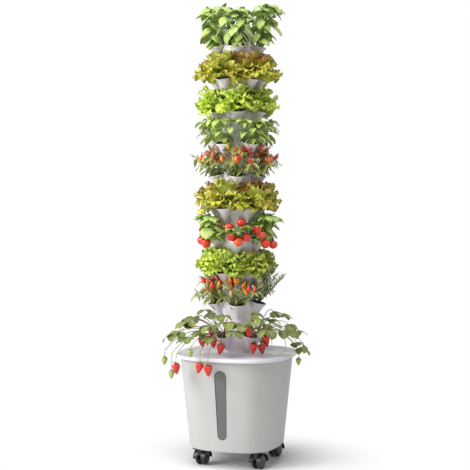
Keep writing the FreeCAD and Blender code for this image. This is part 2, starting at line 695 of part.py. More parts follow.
def caster_wheels(index):
    # Ball-like wheel: a short flat tread, then a dome down to the hub cap
    low = WEB_HALF + 0.6
    high = low + WHEEL_WIDTH - 0.6
    r = WHEEL_RADIUS
    bore = AXLE_RADIUS + PRESS
    dome = low + TREAD_WIDTH
    profile = [(bore, low), (r - 2.5, low), (r - 0.6, low + 0.7), (r, low + 2.0)]
    for i in range(7):
        a = math.radians(15.0 * i)
        profile.append((WHEEL_HUB + (r - WHEEL_HUB) * math.cos(a), dome + (high - dome) * math.sin(a)))
    profile.extend([(WHEEL_HUB - 0.6, high - 0.5), (WHEEL_HUB - 1.6, high + 0.3), (0.0, high + 0.8),
                    (0.0, high - CAP_WALL), (bore, high - CAP_WALL)])
    wheel = turned(profile)
    solids = []
    for side in (-90, 90):
        copy = wheel.copy()
        copy.rotate(Vector(0, 0, 0), Vector(1, 0, 0), side)
        copy.translate(Vector(-CASTER_TRAIL, 0, r))
        solids.append(caster_place(copy, index))
    return solids


def caster_axle(index):
    half = WEB_HALF + WHEEL_WIDTH - CAP_WALL - 0.1
    return caster_place(axle_bar(AXLE_RADIUS, -half, half), index)


def caster_screws():
    z = TUB_BASE_Z - PLATE_THICK
    screw = turned([(0, 0), (SCREW_RADIUS + 2.0, 0), (SCREW_RADIUS, 2.2), (SCREW_RADIUS, SCREW_LENGTH - 1.2),
                    (SCREW_RADIUS - 1.2, SCREW_LENGTH), (0, SCREW_LENGTH)])
    socket = Part.makeBox(3.6, 1.0, 1.2, Vector(-1.8, -0.5, -0.2))
    screw = screw.cut([socket, moved(socket, turn=90)])
    return [moved(screw, x, y, z) for x, y in screw_spots()]


# Plants as simple lumps that stand on the medium

def leaf_lump(rise, length, width, fullest=0.55):
    """Egg-shaped lump in the pocket's frame: leans outward, grows from the medium's middle."""
    stations = [(0.0, 0.10), (0.14, 0.28), (0.32, 0.66), (fullest, 1.0), (0.78, 0.84), (0.93, 0.48),
                (1.0, 0.0)]
    points = [(0.0, 0.0)] + [(width * w, length * t) for t, w in stations]
    lean = 90.0 - rise - POCKET_TILT
    lump = turned(points)
    lump.rotate(Vector(0, 0, 0), Vector(0, 1, 0), lean)
    lump.translate(Vector(1.5, 0, PLUG_TOP + 0.10 * width * abs(math.sin(math.radians(lean))) + REST))
    return lump


def plants(numbers, rise, length, width, skip=None, only=None):
    solids = []
    scale = LEAF_REACH / 66.0
    for number in numbers:
        for i, angle in enumerate(pocket_angles(number)):
            if skip and i in skip:
                continue
            if only and i not in only:
                continue
            solids.append(on_tier(leaf_lump(rise, length * scale, width * scale), number, angle))
    return solids


# Strawberry runners that arch over the lid's edge, with fruit on their ends

RUNNER_REACH = LID_HALF + 48.0
RUNNER_RADIUS = 2.2
RUNNER_TIP_Z = TOWER_Z + 0.44 * TIER_PITCH
LONG_RUNNERS = [(0, 0.0), (2, 90.0), (3, 180.0), (4, 270.0)]
SHORT_RUNNERS = [(0, -58.0), (1, 28.0), (2, 116.0), (3, 205.0), (4, -128.0)]


def runner_ends():
    """(pocket, angle, reach) of each hanging stalk."""
    ends = [(pocket, angle, RUNNER_REACH) for pocket, angle in LONG_RUNNERS]
    ends.extend([(pocket, angle, RUNNER_REACH - 2.0) for pocket, angle in SHORT_RUNNERS])
    return ends


def bent_bar(start, middle, end, radius):
    """Round bar along the arc through three points."""
    centre = Part.Arc(start, middle, end).toShape().Curve.Center
    axis = (start - centre).cross(middle - centre)
    first = (start - centre).getAngle(middle - centre)
    second = (middle - centre).getAngle(end - centre)
    tangent = axis.cross(start - centre)
    disc = Part.Face(Part.Wire(Part.makeCircle(radius, start, tangent)))
    return disc.revolve(centre, axis, math.degrees(first + second))


def strawberry_plants():
    number = TIER_COUNT
    angles = pocket_angles(number)
    solids = []
    for i, angle in enumerate(angles):
        crown = on_tier(leaf_lump(34.0, LEAF_REACH * 1.05, LEAF_REACH * 0.42), number, angle)
        pieces = [crown]
        for pocket, aim, reach in runner_ends():
            if pocket != i:
                continue
            start_z = tier_z(number) + RIM_HEIGHT + 0.34 * LEAF_REACH
            start = polar(RING_RADIUS + 0.42 * LEAF_REACH, angle, start_z)
            tip = polar(reach, aim, RUNNER_TIP_Z)
            middle = (start + tip) * 0.5 + Vector(0, 0, 0.26 * LEAF_REACH)
            pieces.append(bent_bar(start, middle, tip, RUNNER_RADIUS))
            pieces.append(Part.makeSphere(0.2 * LEAF_REACH, tip + Vector(0, 0, 4.0)))
        solids.append(fused(pieces))
    return solids


def strawberry_fruits():
    """Hanging stalk with one fruit, just below each runner's end."""
    solids = []
    drop = 0.75 * TIER_PITCH
    ball = 0.2 * LEAF_REACH
    r = FRUIT_RADIUS
    for i, (pocket, aim, reach) in enumerate(runner_ends()):
        top = RUNNER_TIP_Z + 4.0 - ball - REST
        low = top - drop * (1.0 if i % 2 == 0 else 0.55)
        fruit = turned([(0.0, low), (0.35 * r, low + 1.5), (0.8 * r, low + 0.9 * r), (r, low + 1.6 * r),
                        (0.8 * r, low + 2.1 * r), (1.2, low + 2.3 * r), (1.2, top), (0.0, top)])
        spot = polar(reach, aim)
        solids.append(moved(fruit, spot.x, spot.y))
    return solids


# Build and save every node

save("reservoir_tub", reservoir_tub())
save("level_window", level_window())
save("window_gasket", window_gasket())
save("cable_grommet", cable_grommet())
save("lid", lid())
save("filler_collar", filler_collar())
save("filler_hatch", filler_hatch())
save("hatch_pin", hatch_pin())
save("pump_body", pump_body())
save("pump_feet", pump_feet())
save("pipe_lower", pipe_lower())
save("pipe_coupler", pipe_coupler())
save("pipe_upper", pipe_upper())
save("distributor", distributor())
save("top_cap", top_cap())

one_tier = tier_shell()
cups = []
plugs = []
one_cup = net_cup()
one_plug = medium_plug()
for tier in range(1, TIER_COUNT + 1):
    save("tier_%02d" % tier, moved(one_tier, z=tier_z(tier), turn=tier_turn(tier)))
    for pocket_angle in pocket_angles(tier):
        cups.append(on_tier(one_cup, tier, pocket_angle))
        plugs.append(on_tier(one_plug, tier, pocket_angle))
save("net_cups", cups)
save("medium_plugs", plugs)

save("basil_top", plants([1], 70.0, 146.0, 46.0))
save("lettuce_red_upper", plants([2], 42.0, 92.0, 43.0))
save("lettuce_green_upper", plants([3], 42.0, 92.0, 43.0))
save("herb_upper", plants([4], 44.0, 86.0, 40.0))
save("pepper_upper", plants([5], 46.0, 92.0, 40.0))
save("lettuce_red_lower", plants([6], 42.0, 92.0, 43.0))
save("basil_side", plants([7], 42.0, 92.0, 42.0, skip=[0, 3]))
save("tomato_vines", plants([7], 40.0, 88.0, 40.0, only=[0, 3]))
save("lettuce_green_lower", plants([8], 42.0, 92.0, 43.0))
save("pepper_lower", plants([9], 44.0, 90.0, 40.0, skip=[1]))
save("rosemary", plants([9], 32.0, 120.0, 34.0, only=[1]))
save("strawberry_plants", strawberry_plants())
save("strawberry_fruits", strawberry_fruits())

for corner in range(4):
    save("caster_mount_%d" % (corner + 1), caster_mount(corner))
    save("caster_hood_%d" % (corner + 1), caster_hood(corner))
    save("caster_wheels_%d" % (corner + 1), caster_wheels(corner))
    save("caster_axle_%d" % (corner + 1), caster_axle(corner))
save("caster_screws", caster_screws())
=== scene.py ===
# %% [markdown]
# # A vertical planter tower
# The object is a water tub on casters with a column of ten moulded tiers on its lid. Each tier has five
# cups, and every cup holds a plant. The hard parts come finished in shape from the CAD model, so this
# lesson gives them their finishes and then grows the plants, leaf by leaf, in mesh code.

# %% Load the fixed frame
import math
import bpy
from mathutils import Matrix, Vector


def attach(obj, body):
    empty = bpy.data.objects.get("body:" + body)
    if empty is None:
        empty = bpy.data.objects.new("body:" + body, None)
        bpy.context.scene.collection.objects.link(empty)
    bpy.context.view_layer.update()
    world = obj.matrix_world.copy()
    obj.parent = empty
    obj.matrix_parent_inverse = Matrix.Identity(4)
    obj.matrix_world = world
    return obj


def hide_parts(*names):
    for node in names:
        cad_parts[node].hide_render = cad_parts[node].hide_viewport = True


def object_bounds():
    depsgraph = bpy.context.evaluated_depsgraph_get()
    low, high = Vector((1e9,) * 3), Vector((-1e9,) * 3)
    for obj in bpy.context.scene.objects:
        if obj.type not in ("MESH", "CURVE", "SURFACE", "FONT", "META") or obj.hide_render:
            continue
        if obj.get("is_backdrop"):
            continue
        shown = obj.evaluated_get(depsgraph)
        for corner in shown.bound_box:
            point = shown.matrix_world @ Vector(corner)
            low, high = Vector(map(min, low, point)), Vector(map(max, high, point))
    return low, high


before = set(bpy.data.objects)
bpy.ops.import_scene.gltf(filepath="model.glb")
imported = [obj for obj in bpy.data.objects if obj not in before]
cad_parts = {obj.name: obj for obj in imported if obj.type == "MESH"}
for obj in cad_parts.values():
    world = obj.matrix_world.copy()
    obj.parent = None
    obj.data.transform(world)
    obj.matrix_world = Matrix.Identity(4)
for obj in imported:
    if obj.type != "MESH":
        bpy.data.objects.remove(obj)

from types import SimpleNamespace

import bpy
import numpy as np
from mathutils import Vector


def as_lists(corners):
    return [[float(value) for value in corner] for corner in corners]


cad_box = as_lists(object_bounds())
print("CAD box, in metres:", cad_box)

# %% [markdown]
# ## Sizes that the plants need
# The tiers repeat, so the place of every cup follows from a few sizes: how high a tier is, how far out
# its cups sit, and by how much each tier is turned from the one above.

# %% Sizes and places of the cups
TIER_COUNT = 10
POCKET_COUNT = 5
EVERY_POCKET = range(POCKET_COUNT)
TIER_PITCH = 0.110
RING_RADIUS = 0.0745
RIM_HEIGHT = 0.56 * TIER_PITCH
CUP_RADIUS = 0.0265
FRONT_TURN = -71.5
LID_HALF = 0.199
LID_TOP = 0.3849
TOWER_FOOT = LID_TOP + 0.003


def heading(azimuth, rise=0.0):
    """Unit vector at an azimuth and a rise above level, both in degrees."""
    a, e = math.radians(azimuth), math.radians(rise)
    return np.array([math.cos(e) * math.cos(a), math.cos(e) * math.sin(a), math.sin(e)])


def around(azimuth, reach, height):
    """A point at an azimuth round the tower's axis, a reach away from it, at a height."""
    return heading(azimuth) * reach + np.array([0, 0, height])


def azimuth_of(arrow):
    return math.degrees(math.atan2(arrow[1], arrow[0]))


def apart(first, second):
    """The angle between two azimuths, from 0 to 180."""
    return abs((first - second + 180) % 360 - 180)


def pocket_angle(number, pocket):
    turn = FRONT_TURN + (180.0 / POCKET_COUNT if number % 2 == 0 else 0.0)
    return turn + 360.0 / POCKET_COUNT * pocket


def pocket_mouth(number, pocket):
    """Centre of a cup's mouth and the azimuth that it faces."""
    angle = pocket_angle(number, pocket)
    foot = TOWER_FOOT + (TIER_COUNT - number) * TIER_PITCH
    return around(angle, RING_RADIUS, foot + RIM_HEIGHT), angle


print("top tier's first mouth:", pocket_mouth(1, 0)[0].round(3))

# %% [markdown]
# ## The camera
# The photograph looks at the tower from a little above its middle, turned so that the tub shows its
# front and a narrow strip of its right side. A long lens from about four metres gives the same flat
# perspective. The camera is set first, because everything after it is judged through it.

# %% Place the camera
CAMERA_TURN = 18.5
CAMERA_REACH = 4.066
CAMERA_HEIGHT = 0.9484
AIM_HEIGHT = 0.7912
AIM_LEFT = 0.0079
LENS = 89.7


def new_object(name, data):
    made = bpy.data.objects.new(name, data)
    bpy.context.scene.collection.objects.link(made)
    return made


def aim_at(thing, target):
    """Turns a camera or a lamp towards a point."""
    thing.rotation_euler = (target - thing.location).to_track_quat("-Z", "Y").to_euler()


to_camera = Vector(heading(CAMERA_TURN - 90.0))
to_right = Vector(heading(CAMERA_TURN))
camera = new_object("camera", bpy.data.cameras.new("camera"))
camera.location = to_camera * CAMERA_REACH + Vector((0, 0, CAMERA_HEIGHT))
aim_at(camera, Vector((0, 0, AIM_HEIGHT)) - to_right * AIM_LEFT)
camera.data.sensor_width = 36.0
camera.data.lens = LENS
bpy.context.scene.camera = camera
print("camera at", tuple(round(v, 3) for v in camera.location))

# %% [markdown]
# ## Node helpers
# A material in Blender is a small graph. Wiring each node by hand takes many lines, so a node's output
# is wrapped here as a signal. Signals are added and multiplied in plain arithmetic, and each such step
# adds the node that does it.

# %% Helpers that add and wire shader nodes
class Signal:
    """An output of a shader node. Signals and numbers add, subtract, multiply and divide."""

    def __init__(self, socket):
        self.socket = socket
        self.tree = socket.id_data

    def math(self, operation, *others):
        return add(self.tree, "Math", (self, *others), operation=operation)

    def __add__(self, other):
        return self.math("ADD", other)

    def __sub__(self, other):
        return self.math("SUBTRACT", other)

    def __rsub__(self, other):
        return add(self.tree, "Math", (other, self), operation="SUBTRACT")

    def __mul__(self, other):
        return self.math("MULTIPLY", other)

    def __truediv__(self, other):
        return self.math("DIVIDE", other)


def signals(sockets):
    return {socket.name: Signal(socket) for socket in sockets}


def fill(node, pairs):
    """Sets the inputs of a node, and wires those whose value is a signal."""
    for key, value in pairs:
        if isinstance(value, Signal):
            value.tree.links.new(value.socket, node.inputs[key])
        else:
            node.inputs[key].default_value = value


def wire(node, **values):
    """Fills inputs by name. Spaces in their names become underscores."""
    fill(node, [(name.replace("_", " "), value) for name, value in values.items()])


def add(tree, kind, inputs=(), out=0, **settings):
    """Adds a shader node, fills its inputs, and returns one of its outputs."""
    made = tree.nodes.new("ShaderNode" + kind)
    for name, value in settings.items():
        setattr(made, name, value)
    fill(made, inputs.items() if isinstance(inputs, dict) else enumerate(inputs))
    return Signal(made.outputs[out])


def vector(operation, first, *others, out=0):
    return add(first.tree, "VectorMath", (first, *others), out, operation=operation)


def mixed(share, first, second):
    """One colour laid over another, by a share from 0 to 1."""
    return add(share.tree, "Mix", {0: share, 6: first, 7: second}, out=2, data_type="RGBA")


def ranged(value, low, high, start, end, **settings):
    """A value carried from one range to another."""
    return add(value.tree, "MapRange", (value, low, high, start, end), **settings)


def eased(value, low, high):
    """Smooth step: 0 at low, 1 at high."""
    return ranged(value, low, high, 0.0, 1.0, interpolation_type="SMOOTHSTEP")


def noise(place, scale, detail=2.0, distortion=0.0):
    inputs = {"Vector": place, "Scale": scale, "Detail": detail, "Distortion": distortion}
    return add(place.tree, "TexNoise", inputs)


def new_group(name, inputs, outputs):
    """A shader node group. Its sockets are given as the names of each kind, such as Float=["Gloss"]."""
    tree = bpy.data.node_groups.new(name, "ShaderNodeTree")
    for direction, sockets in (("INPUT", inputs), ("OUTPUT", outputs)):
        for kind, labels in sockets.items():
            for label in labels:
                tree.interface.new_socket(label, in_out=direction, socket_type="NodeSocket" + kind)
    return tree, signals(tree.nodes.new("NodeGroupInput").outputs), tree.nodes.new("NodeGroupOutput")


def group_node(tree, group, **values):
    """Places a group in a tree with values of its own, and returns its outputs."""
    made = tree.nodes.new("ShaderNodeGroup")
    made.node_tree = group
    wire(made, **values)
    return signals(made.outputs)


def rgb(red, green, blue):
    """A colour picked on screen, in 0 to 255, as the linear value that Blender's sockets hold."""
    return tuple((v / 255.0) ** 2.2 for v in (red, green, blue)) + (1.0,)


def new_material(name):
    material = bpy.data.materials.new(name)
    material.use_nodes = True
    tree = material.node_tree
    return material, tree, tree.nodes["Principled BSDF"]


def set_surface(shader, colour, rough, height, depth):
    """Wires colour and roughness, and a height that shows as relief of a depth in metres."""
    relief = add(height.tree, "Bump", {"Distance": depth, "Height": height})
    wire(shader, Base_Color=colour, Roughness=rough, Normal=relief)


print("node helpers ready")

# %% [markdown]
# ## Floor, background and light
# A studio picture has a seamless white ground. A floor that reflects light goes grey towards the
# horizon, so here it hands over to plain white away from the object, and only for rays that the camera
# or a shiny surface sends. Near the object it stays a real pale surface that takes the soft shadow.

# %% Lay the floor
FLOOR_HALF = 14.0
FLOOR_NEAR = 0.14
FLOOR_FAR = 0.56
WHITE = (1.0, 1.0, 1.0, 1.0)


def to_eye(tree):
    """1 for rays of the camera, of reflections and of clear parts, and 0 for rays that carry light."""
    path = signals(tree.nodes.new("ShaderNodeLightPath").outputs)
    seen = path["Is Camera Ray"].math("MAXIMUM", path["Is Glossy Ray"])
    return seen.math("MAXIMUM", path["Is Transmission Ray"])


mesh = bpy.data.meshes.new("floor")
corners = [(x * FLOOR_HALF, y * FLOOR_HALF, 0.0) for x, y in [(-1, -1), (1, -1), (1, 1), (-1, 1)]]
mesh.from_pydata(corners, [], [(0, 1, 2, 3)])
floor = new_object("floor", mesh)
floor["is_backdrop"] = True

material, tree, shader = new_material("floor_white")
wire(shader, Base_Color=(0.92, 0.92, 0.92, 1.0), Roughness=0.9, Specular_IOR_Level=0.1)
reach = vector("LENGTH", add(tree, "TexCoord", out="Object"), out="Value")
share = eased(reach, FLOOR_NEAR, FLOOR_FAR) * to_eye(tree)
white = add(tree, "Emission", {"Color": WHITE, "Strength": 1.0})
ground = add(tree, "MixShader", (share, Signal(shader.outputs["BSDF"]), white))
wire(tree.nodes["Material Output"], Surface=ground)
mesh.materials.append(material)
print("floor is", 2 * FLOOR_HALF, "m wide")

# %% [markdown]
# The light is one broad lamp from the left, a soft one overhead, a weak one from the right, and the
# world as an even fill. The photograph's tub shows the ratios: its front is brightest at the left
# edge, its right side about two thirds as bright, and the lid above it bright again. The lamps stay at
# a plain level, so that a colour renders about as it is written.

# %% Light the scene
WORLD_FILL = 0.27
LAMP_AIM = Vector((0, 0, 0.8))
LAMPS = [
    # name, azimuth, reach, height, size across, watts
    ("key_lamp", -138.0, 3.6, 2.2, 2.6, 150.0),
    ("top_lamp", -71.5, 1.4, 4.2, 2.6, 92.0),
    ("side_lamp", 10.0, 3.6, 1.4, 2.0, 4.0),
]

for name, turn, reach, height, size, watts in LAMPS:
    lamp = new_object(name, bpy.data.lights.new(name, "AREA"))
    lamp.data.shape = "DISK"
    lamp.data.size = size
    lamp.data.energy = watts
    lamp.location = Vector(heading(turn)) * reach + Vector((0, 0, height))
    aim_at(lamp, LAMP_AIM)
    print(name, watts, "W")

world = bpy.data.worlds.new("studio")
world.use_nodes = True
bpy.context.scene.world = world
strength = ranged(to_eye(world.node_tree), 0.0, 1.0, WORLD_FILL, 1.0)
wire(world.node_tree.nodes["Background"], Strength=strength, Color=WHITE)
bpy.context.scene.view_settings.view_transform = "Standard"
print("fill", WORLD_FILL)

# %% [markdown]
# ## Moulded plastic
# Most of the object is injection-moulded plastic: white tiers with a soft gloss, a matte grey tub,
# black casters and dark net cups. They differ only in colour, grain and gloss, so one node group makes
# them all. It adds a fine pebbled grain from the mould, faint clouds in the colour where the wall
# thickness varies, and a little dust that settles on faces that look up.

# %% Node group for moulded plastic
FINISH_OUTPUTS = dict(Color=["Colour"], Float=["Roughness", "Height"])
CLOUD_SHARE = 0.5
DUST_COLOUR = rgb(196, 190, 182)
DUST_ROUGHNESS = 0.4

plastic_group, given, gives = new_group(
    "moulded_plastic", dict(Color=["Colour", "Cloud Colour"], Float=["Grain Scale", "Gloss", "Dust"]),
    FINISH_OUTPUTS)
place = add(plastic_group, "TexCoord", out="Object")
smear = noise(place, 60.0, 3.0)
clouds = eased(noise(place, 9.0), 0.35, 0.65) * CLOUD_SHARE
plain = mixed(clouds, given["Colour"], given["Cloud Colour"])
normal = add(plastic_group, "NewGeometry", out="Normal")
upward = add(plastic_group, "SeparateXYZ", (normal,), out="Z")
settled = eased(upward, 0.6, 1.0) * eased(smear, 0.4, 0.75) * given["Dust"]
rubbed = ranged(smear, 0.3, 0.7, -0.05, 0.05)
wire(gives, Colour=mixed(settled, plain, DUST_COLOUR),
     Roughness=given["Gloss"] + rubbed + settled * DUST_ROUGHNESS,
     Height=noise(place, given["Grain Scale"], 1.0))
print("plastic group has", len(plastic_group.nodes), "nodes")

# %% Make plastics from the group
def dress(material, *names):
    """Gives CAD nodes a material by filling every slot that they have."""
    for name in names:
        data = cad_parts[name].data
        data.materials.clear()
        data.materials.append(material)


def plastic(name, nodes, colour, cloud_colour, gloss, grain=900.0, depth=0.00004, dust=0.1):
    """A plastic in two close colours, given to the CAD nodes that are made of it."""
    material, tree, shader = new_material(name)
    made = group_node(tree, plastic_group, Colour=rgb(*colour), Cloud_Colour=rgb(*cloud_colour),
                      Grain_Scale=grain, Gloss=gloss, Dust=dust)
    set_surface(shader, made["Colour"], made["Roughness"], made["Height"], depth)
    dress(material, *nodes)
    print(name, "on", len(nodes), "nodes")


def numbered(name, count=4):
    return [name % number for number in range(1, count + 1)]


plastic("shell_white", ["top_cap", "distributor", *numbered("tier_%02d", TIER_COUNT)],
        (238, 234, 240), (230, 222, 234), gloss=0.34, depth=0.00002, dust=0.05)
plastic("lid_white", ["lid", "filler_collar", "filler_hatch"],
        (226, 226, 233), (219, 219, 229), gloss=0.38, dust=0.05)
plastic("tub_grey", ["reservoir_tub"],
        (189, 189, 186), (182, 183, 181), gloss=0.55, depth=0.00007, grain=700.0)

# %% [markdown]
# ## The dark and small parts
# The casters are black nylon with polished treads, the net cups are a darker matte plastic, and the
# level window is a smoked strip. Pump, pipes, grommet and screws are hardly seen, but they show when
# the lid is lifted, so each gets its own finish too.

# %% Finish the dark and small plastics
plastic("caster_black", numbered("caster_hood_%d") + numbered("caster_mount_%d"),
        (30, 30, 32), (40, 40, 43), gloss=0.42, grain=500.0, dust=0.05)
plastic("tread_black", numbered("caster_wheels_%d"),
        (38, 38, 40), (50, 50, 52), gloss=0.30, grain=300.0, dust=0.02)
plastic("net_dark", ["net_cups"], (52, 50, 50), (66, 62, 60), gloss=0.6, grain=600.0, dust=0.15)
plastic("seal_dark", ["window_gasket", "cable_grommet", "pump_feet"],
        (66, 66, 68), (78, 78, 80), gloss=0.7, grain=600.0)
plastic("pump_dark", ["pump_body"], (44, 47, 52), (56, 58, 64), gloss=0.5, dust=0.0)
plastic("pipe_white", ["pipe_lower", "pipe_upper", "pipe_coupler"],
        (228, 228, 226), (218, 220, 220), gloss=0.4, dust=0.0)
plastic("window_smoke", ["level_window"], (108, 108, 109), (94, 94, 96), gloss=0.22, depth=0.00001)

# %% [markdown]
# Steel shows in the caster axles, their screws and the hatch's hinge pin. Brushing leaves fine lines
# along the metal, which a noise pattern gives when it is stretched far more one way than the other.

# %% Brushed steel
material, tree, shader = new_material("steel")
place = add(tree, "TexCoord", out="Object")
lines = noise(add(tree, "Mapping", {"Vector": place, "Scale": (2500.0, 2500.0, 60.0)}), 1.0, 3.0)
tone = mixed(lines, rgb(186, 187, 190), rgb(214, 215, 218))
set_surface(shader, tone, ranged(lines, 0.3, 0.7, 0.25, 0.42), lines, 0.00002)
wire(shader, Metallic=1.0)
dress(material, "hatch_pin", "caster_screws", *numbered("caster_axle_%d"))
print("steel on six nodes")

# %% [markdown]
# The plugs that the plants grow in are coarse brown fibre, dark where it is wet. Two scales of pattern
# do it: cells for the crumbs, and noise for the fibres and the damp patches.

# %% Growing medium
material, tree, shader = new_material("medium_brown")
place = add(tree, "TexCoord", out="Object")
crumbs = add(tree, "TexVoronoi", {"Vector": place, "Scale": 420.0})
fibres = noise(place, 900.0, 4.0, distortion=1.5)
damp = noise(place, 60.0)
soil = mixed(eased(fibres, 0.35, 0.7), rgb(46, 32, 22), rgb(112, 82, 56))
soil = mixed(eased(damp, 0.4, 0.6), soil, rgb(38, 28, 20))
set_surface(shader, soil, ranged(damp, 0.3, 0.7, 0.95, 0.6), crumbs + fibres, 0.0012)
dress(material, "medium_plugs")
print("growing medium made")

# %% [markdown]
# ## One leaf finish for every plant
# A leaf has a pale midrib, side veins that slant towards the tip, a field that is deeper near the veins and
# brighter between them, and often a margin of another colour. On the bright lettuce that paler margin is a
# painted highlight on the frills. All of it can be drawn in the leaf's own map, where one axis runs across
# the blade and the other from base to tip. Each piece's map is a square of tiles. A leaf lies on one of
# them, and the tile's number gives it its tint.

# %% Node group that reads a leaf's place on its tile
MAP_TILES = 5
TILE_FILL = 0.92

places_group, given, gives = new_group(
    "tile_places", {}, dict(Float=["Across", "Along", "Tint", "Shade"], Vector=["Cell"]))
flat = add(places_group, "TexCoord", out="UV")
spread = vector("MULTIPLY", flat, (MAP_TILES, MAP_TILES, MAP_TILES))
inside = vector("FRACTION", spread)
tile = vector("FLOOR", spread)
beside = vector("ADD", tile, (7.3, 2.9, 0.0))
wire(gives, Across=(add(places_group, "SeparateXYZ", (inside,), out="X") - 0.5) / (TILE_FILL / 2),
     Along=(add(places_group, "SeparateXYZ", (inside,), out="Y") - (1 - TILE_FILL) / 2) / TILE_FILL,
     Tint=add(places_group, "TexWhiteNoise", {"Vector": tile}),
     Shade=add(places_group, "TexWhiteNoise", {"Vector": beside}), Cell=spread)
print("tile group has", len(places_group.nodes), "nodes")

# %% Node group that paints a leaf
leaf_group, given, gives = new_group(
    "leaf_finish",
    dict(Color=["Deep", "Bright", "Rib", "Margin"],
         Float=["Margin Reach", "Margin Share", "Veins", "Slant", "Vein Share", "Rib Width", "Gloss",
                "Mottle"]),
    FINISH_OUTPUTS)
own = group_node(leaf_group, places_group)
aside = own["Across"].math("ABSOLUTE")
# Midrib, narrower towards the tip
narrowed = given["Rib Width"] * (1.15 - own["Along"])
spine = 1.0 - eased(aside / narrowed, 0.5, 1.4)
# Side veins, slanting towards the tip
phase = ((own["Along"] - aside * given["Slant"]) * given["Veins"]).math("FRACT")
ridge = (phase - 0.5).math("ABSOLUTE") * 2.0
vein = eased(ridge, 0.72, 0.98) * eased(aside, 1.0, 0.6)
ribs = spine.math("MAXIMUM", vein * given["Vein Share"])
# Field between the veins
mottle = noise(vector("MULTIPLY", own["Cell"], given["Mottle"]), 1.0, 3.0)
field = own["Tint"] * 0.55 + mottle * 0.9 - 0.22 - ridge * 0.12
field = add(leaf_group, "Clamp", (field, 0.0, 1.0))
colour = mixed(field, given["Deep"], given["Bright"])
# Margin, which is uneven from leaf to leaf. On the bright lettuce its paler colour is a painted highlight on
# the frills
outer = aside.math("MAXIMUM", (own["Along"] - 0.5) * 2.0)
uneven = outer + (mottle - 0.5) * 0.9
edge = eased(uneven, 1.0 - given["Margin Reach"], 1.02) * given["Margin Share"]
edge = edge * ranged(own["Shade"], 0.0, 1.0, 0.55, 1.0)
colour = mixed(ribs, mixed(edge, colour, given["Margin"]), given["Rib"])
# Each leaf a little lighter or darker
tone = ranged(own["Shade"], 0.0, 1.0, 0.80, 1.16)
wire(gives, Colour=vector("MULTIPLY", colour, tone), Roughness=given["Gloss"] + mottle * 0.16,
     Height=mottle * 0.6 - ribs)
print("leaf group has", len(leaf_group.nodes), "nodes")

# %% [markdown]
# The underside of a leaf is paler and duller than its face. Backfacing tells the two apart, and it
# stays in the material itself, next to the shader.

# %% Make the leaf materials from the group
LEAF_RELIEF = 0.0006


def leaf_material(name, deep, bright, rib, veins, rib_width, gloss, margin=((120, 160, 70), 0.3, 0.0),
                  mottle=8.0, under=(168, 190, 128), paler=0.35, shine=0.4):
    """A leaf's finish. veins are (how many, slant, share), and margin is (colour, reach, share)."""
    material, tree, shader = new_material(name)
    made = group_node(tree, leaf_group, Deep=rgb(*deep), Bright=rgb(*bright), Rib=rgb(*rib),
                      Margin=rgb(*margin[0]), Margin_Reach=margin[1], Margin_Share=margin[2],
                      Veins=veins[0], Slant=veins[1], Vein_Share=veins[2], Rib_Width=rib_width,
                      Gloss=gloss, Mottle=mottle)
    back = add(tree, "NewGeometry", out="Backfacing")
    colour = mixed(back * paler, made["Colour"], rgb(*under))
    set_surface(shader, colour, made["Roughness"], made["Height"], LEAF_RELIEF)
    wire(shader, Specular_IOR_Level=shine)
    return material


basil_finish = leaf_material(
    "leaf_basil", (130, 168, 62), (206, 222, 128), (218, 232, 160),
    veins=(6.0, 0.34, 0.55), rib_width=0.07, gloss=0.30, shine=0.6)
red_finish = leaf_material(
    "leaf_red", (186, 200, 40), (240, 240, 92), (244, 246, 180),
    veins=(5.0, 0.5, 0.35), rib_width=0.10, gloss=0.40, margin=((186, 132, 62), 0.26, 0.85), mottle=7.0)
heart_finish = leaf_material(
    "leaf_red_heart", (176, 156, 50), (220, 204, 88), (228, 220, 150),
    veins=(5.0, 0.5, 0.30), rib_width=0.10, gloss=0.38, margin=((122, 56, 44), 0.54, 0.95), mottle=7.0,
    under=(206, 162, 92))
# Its pale yellow margin is a painted highlight on the frilled edges
bright_finish = leaf_material(
    "leaf_bright", (170, 206, 36), (240, 248, 104), (240, 246, 180),
    veins=(5.0, 0.5, 0.4), rib_width=0.10, gloss=0.40, margin=((226, 238, 100), 0.4, 0.6), mottle=7.0)
curly_finish = leaf_material(
    "leaf_curly", (150, 172, 44), (226, 230, 96), (224, 228, 146),
    veins=(5.0, 0.4, 0.4), rib_width=0.08, gloss=0.45, margin=((182, 184, 60), 0.4, 0.6), mottle=9.0)
herb_finish = leaf_material(
    "leaf_herb", (138, 172, 66), (218, 230, 134), (224, 234, 164),
    veins=(7.0, 0.28, 0.5), rib_width=0.10, gloss=0.42)
pepper_finish = leaf_material(
    "leaf_pepper", (92, 108, 48), (206, 208, 118), (216, 222, 152),
    veins=(7.0, 0.25, 0.35), rib_width=0.10, gloss=0.36, under=(128, 146, 104))
tomato_finish = leaf_material(
    "leaf_tomato", (106, 136, 50), (184, 200, 96), (198, 212, 128),
    veins=(6.0, 0.3, 0.45), rib_width=0.09, gloss=0.5)
rosemary_finish = leaf_material(
    "leaf_rosemary", (140, 154, 88), (212, 216, 158), (220, 224, 184),
    veins=(1.0, 0.0, 0.0), rib_width=0.25, gloss=0.5, under=(186, 194, 172), paler=0.7)
strawberry_finish = leaf_material(
    "leaf_strawberry", (72, 92, 40), (152, 162, 84), (184, 196, 126),
    veins=(7.0, 0.4, 0.5), rib_width=0.08, gloss=0.42, under=(176, 190, 150), paler=0.5)
print("ten leaf finishes made")

# %% [markdown]
# Stems are round and streaked along their length, often flushed at the foot. Their map runs round the
# stem one way and along it the other.

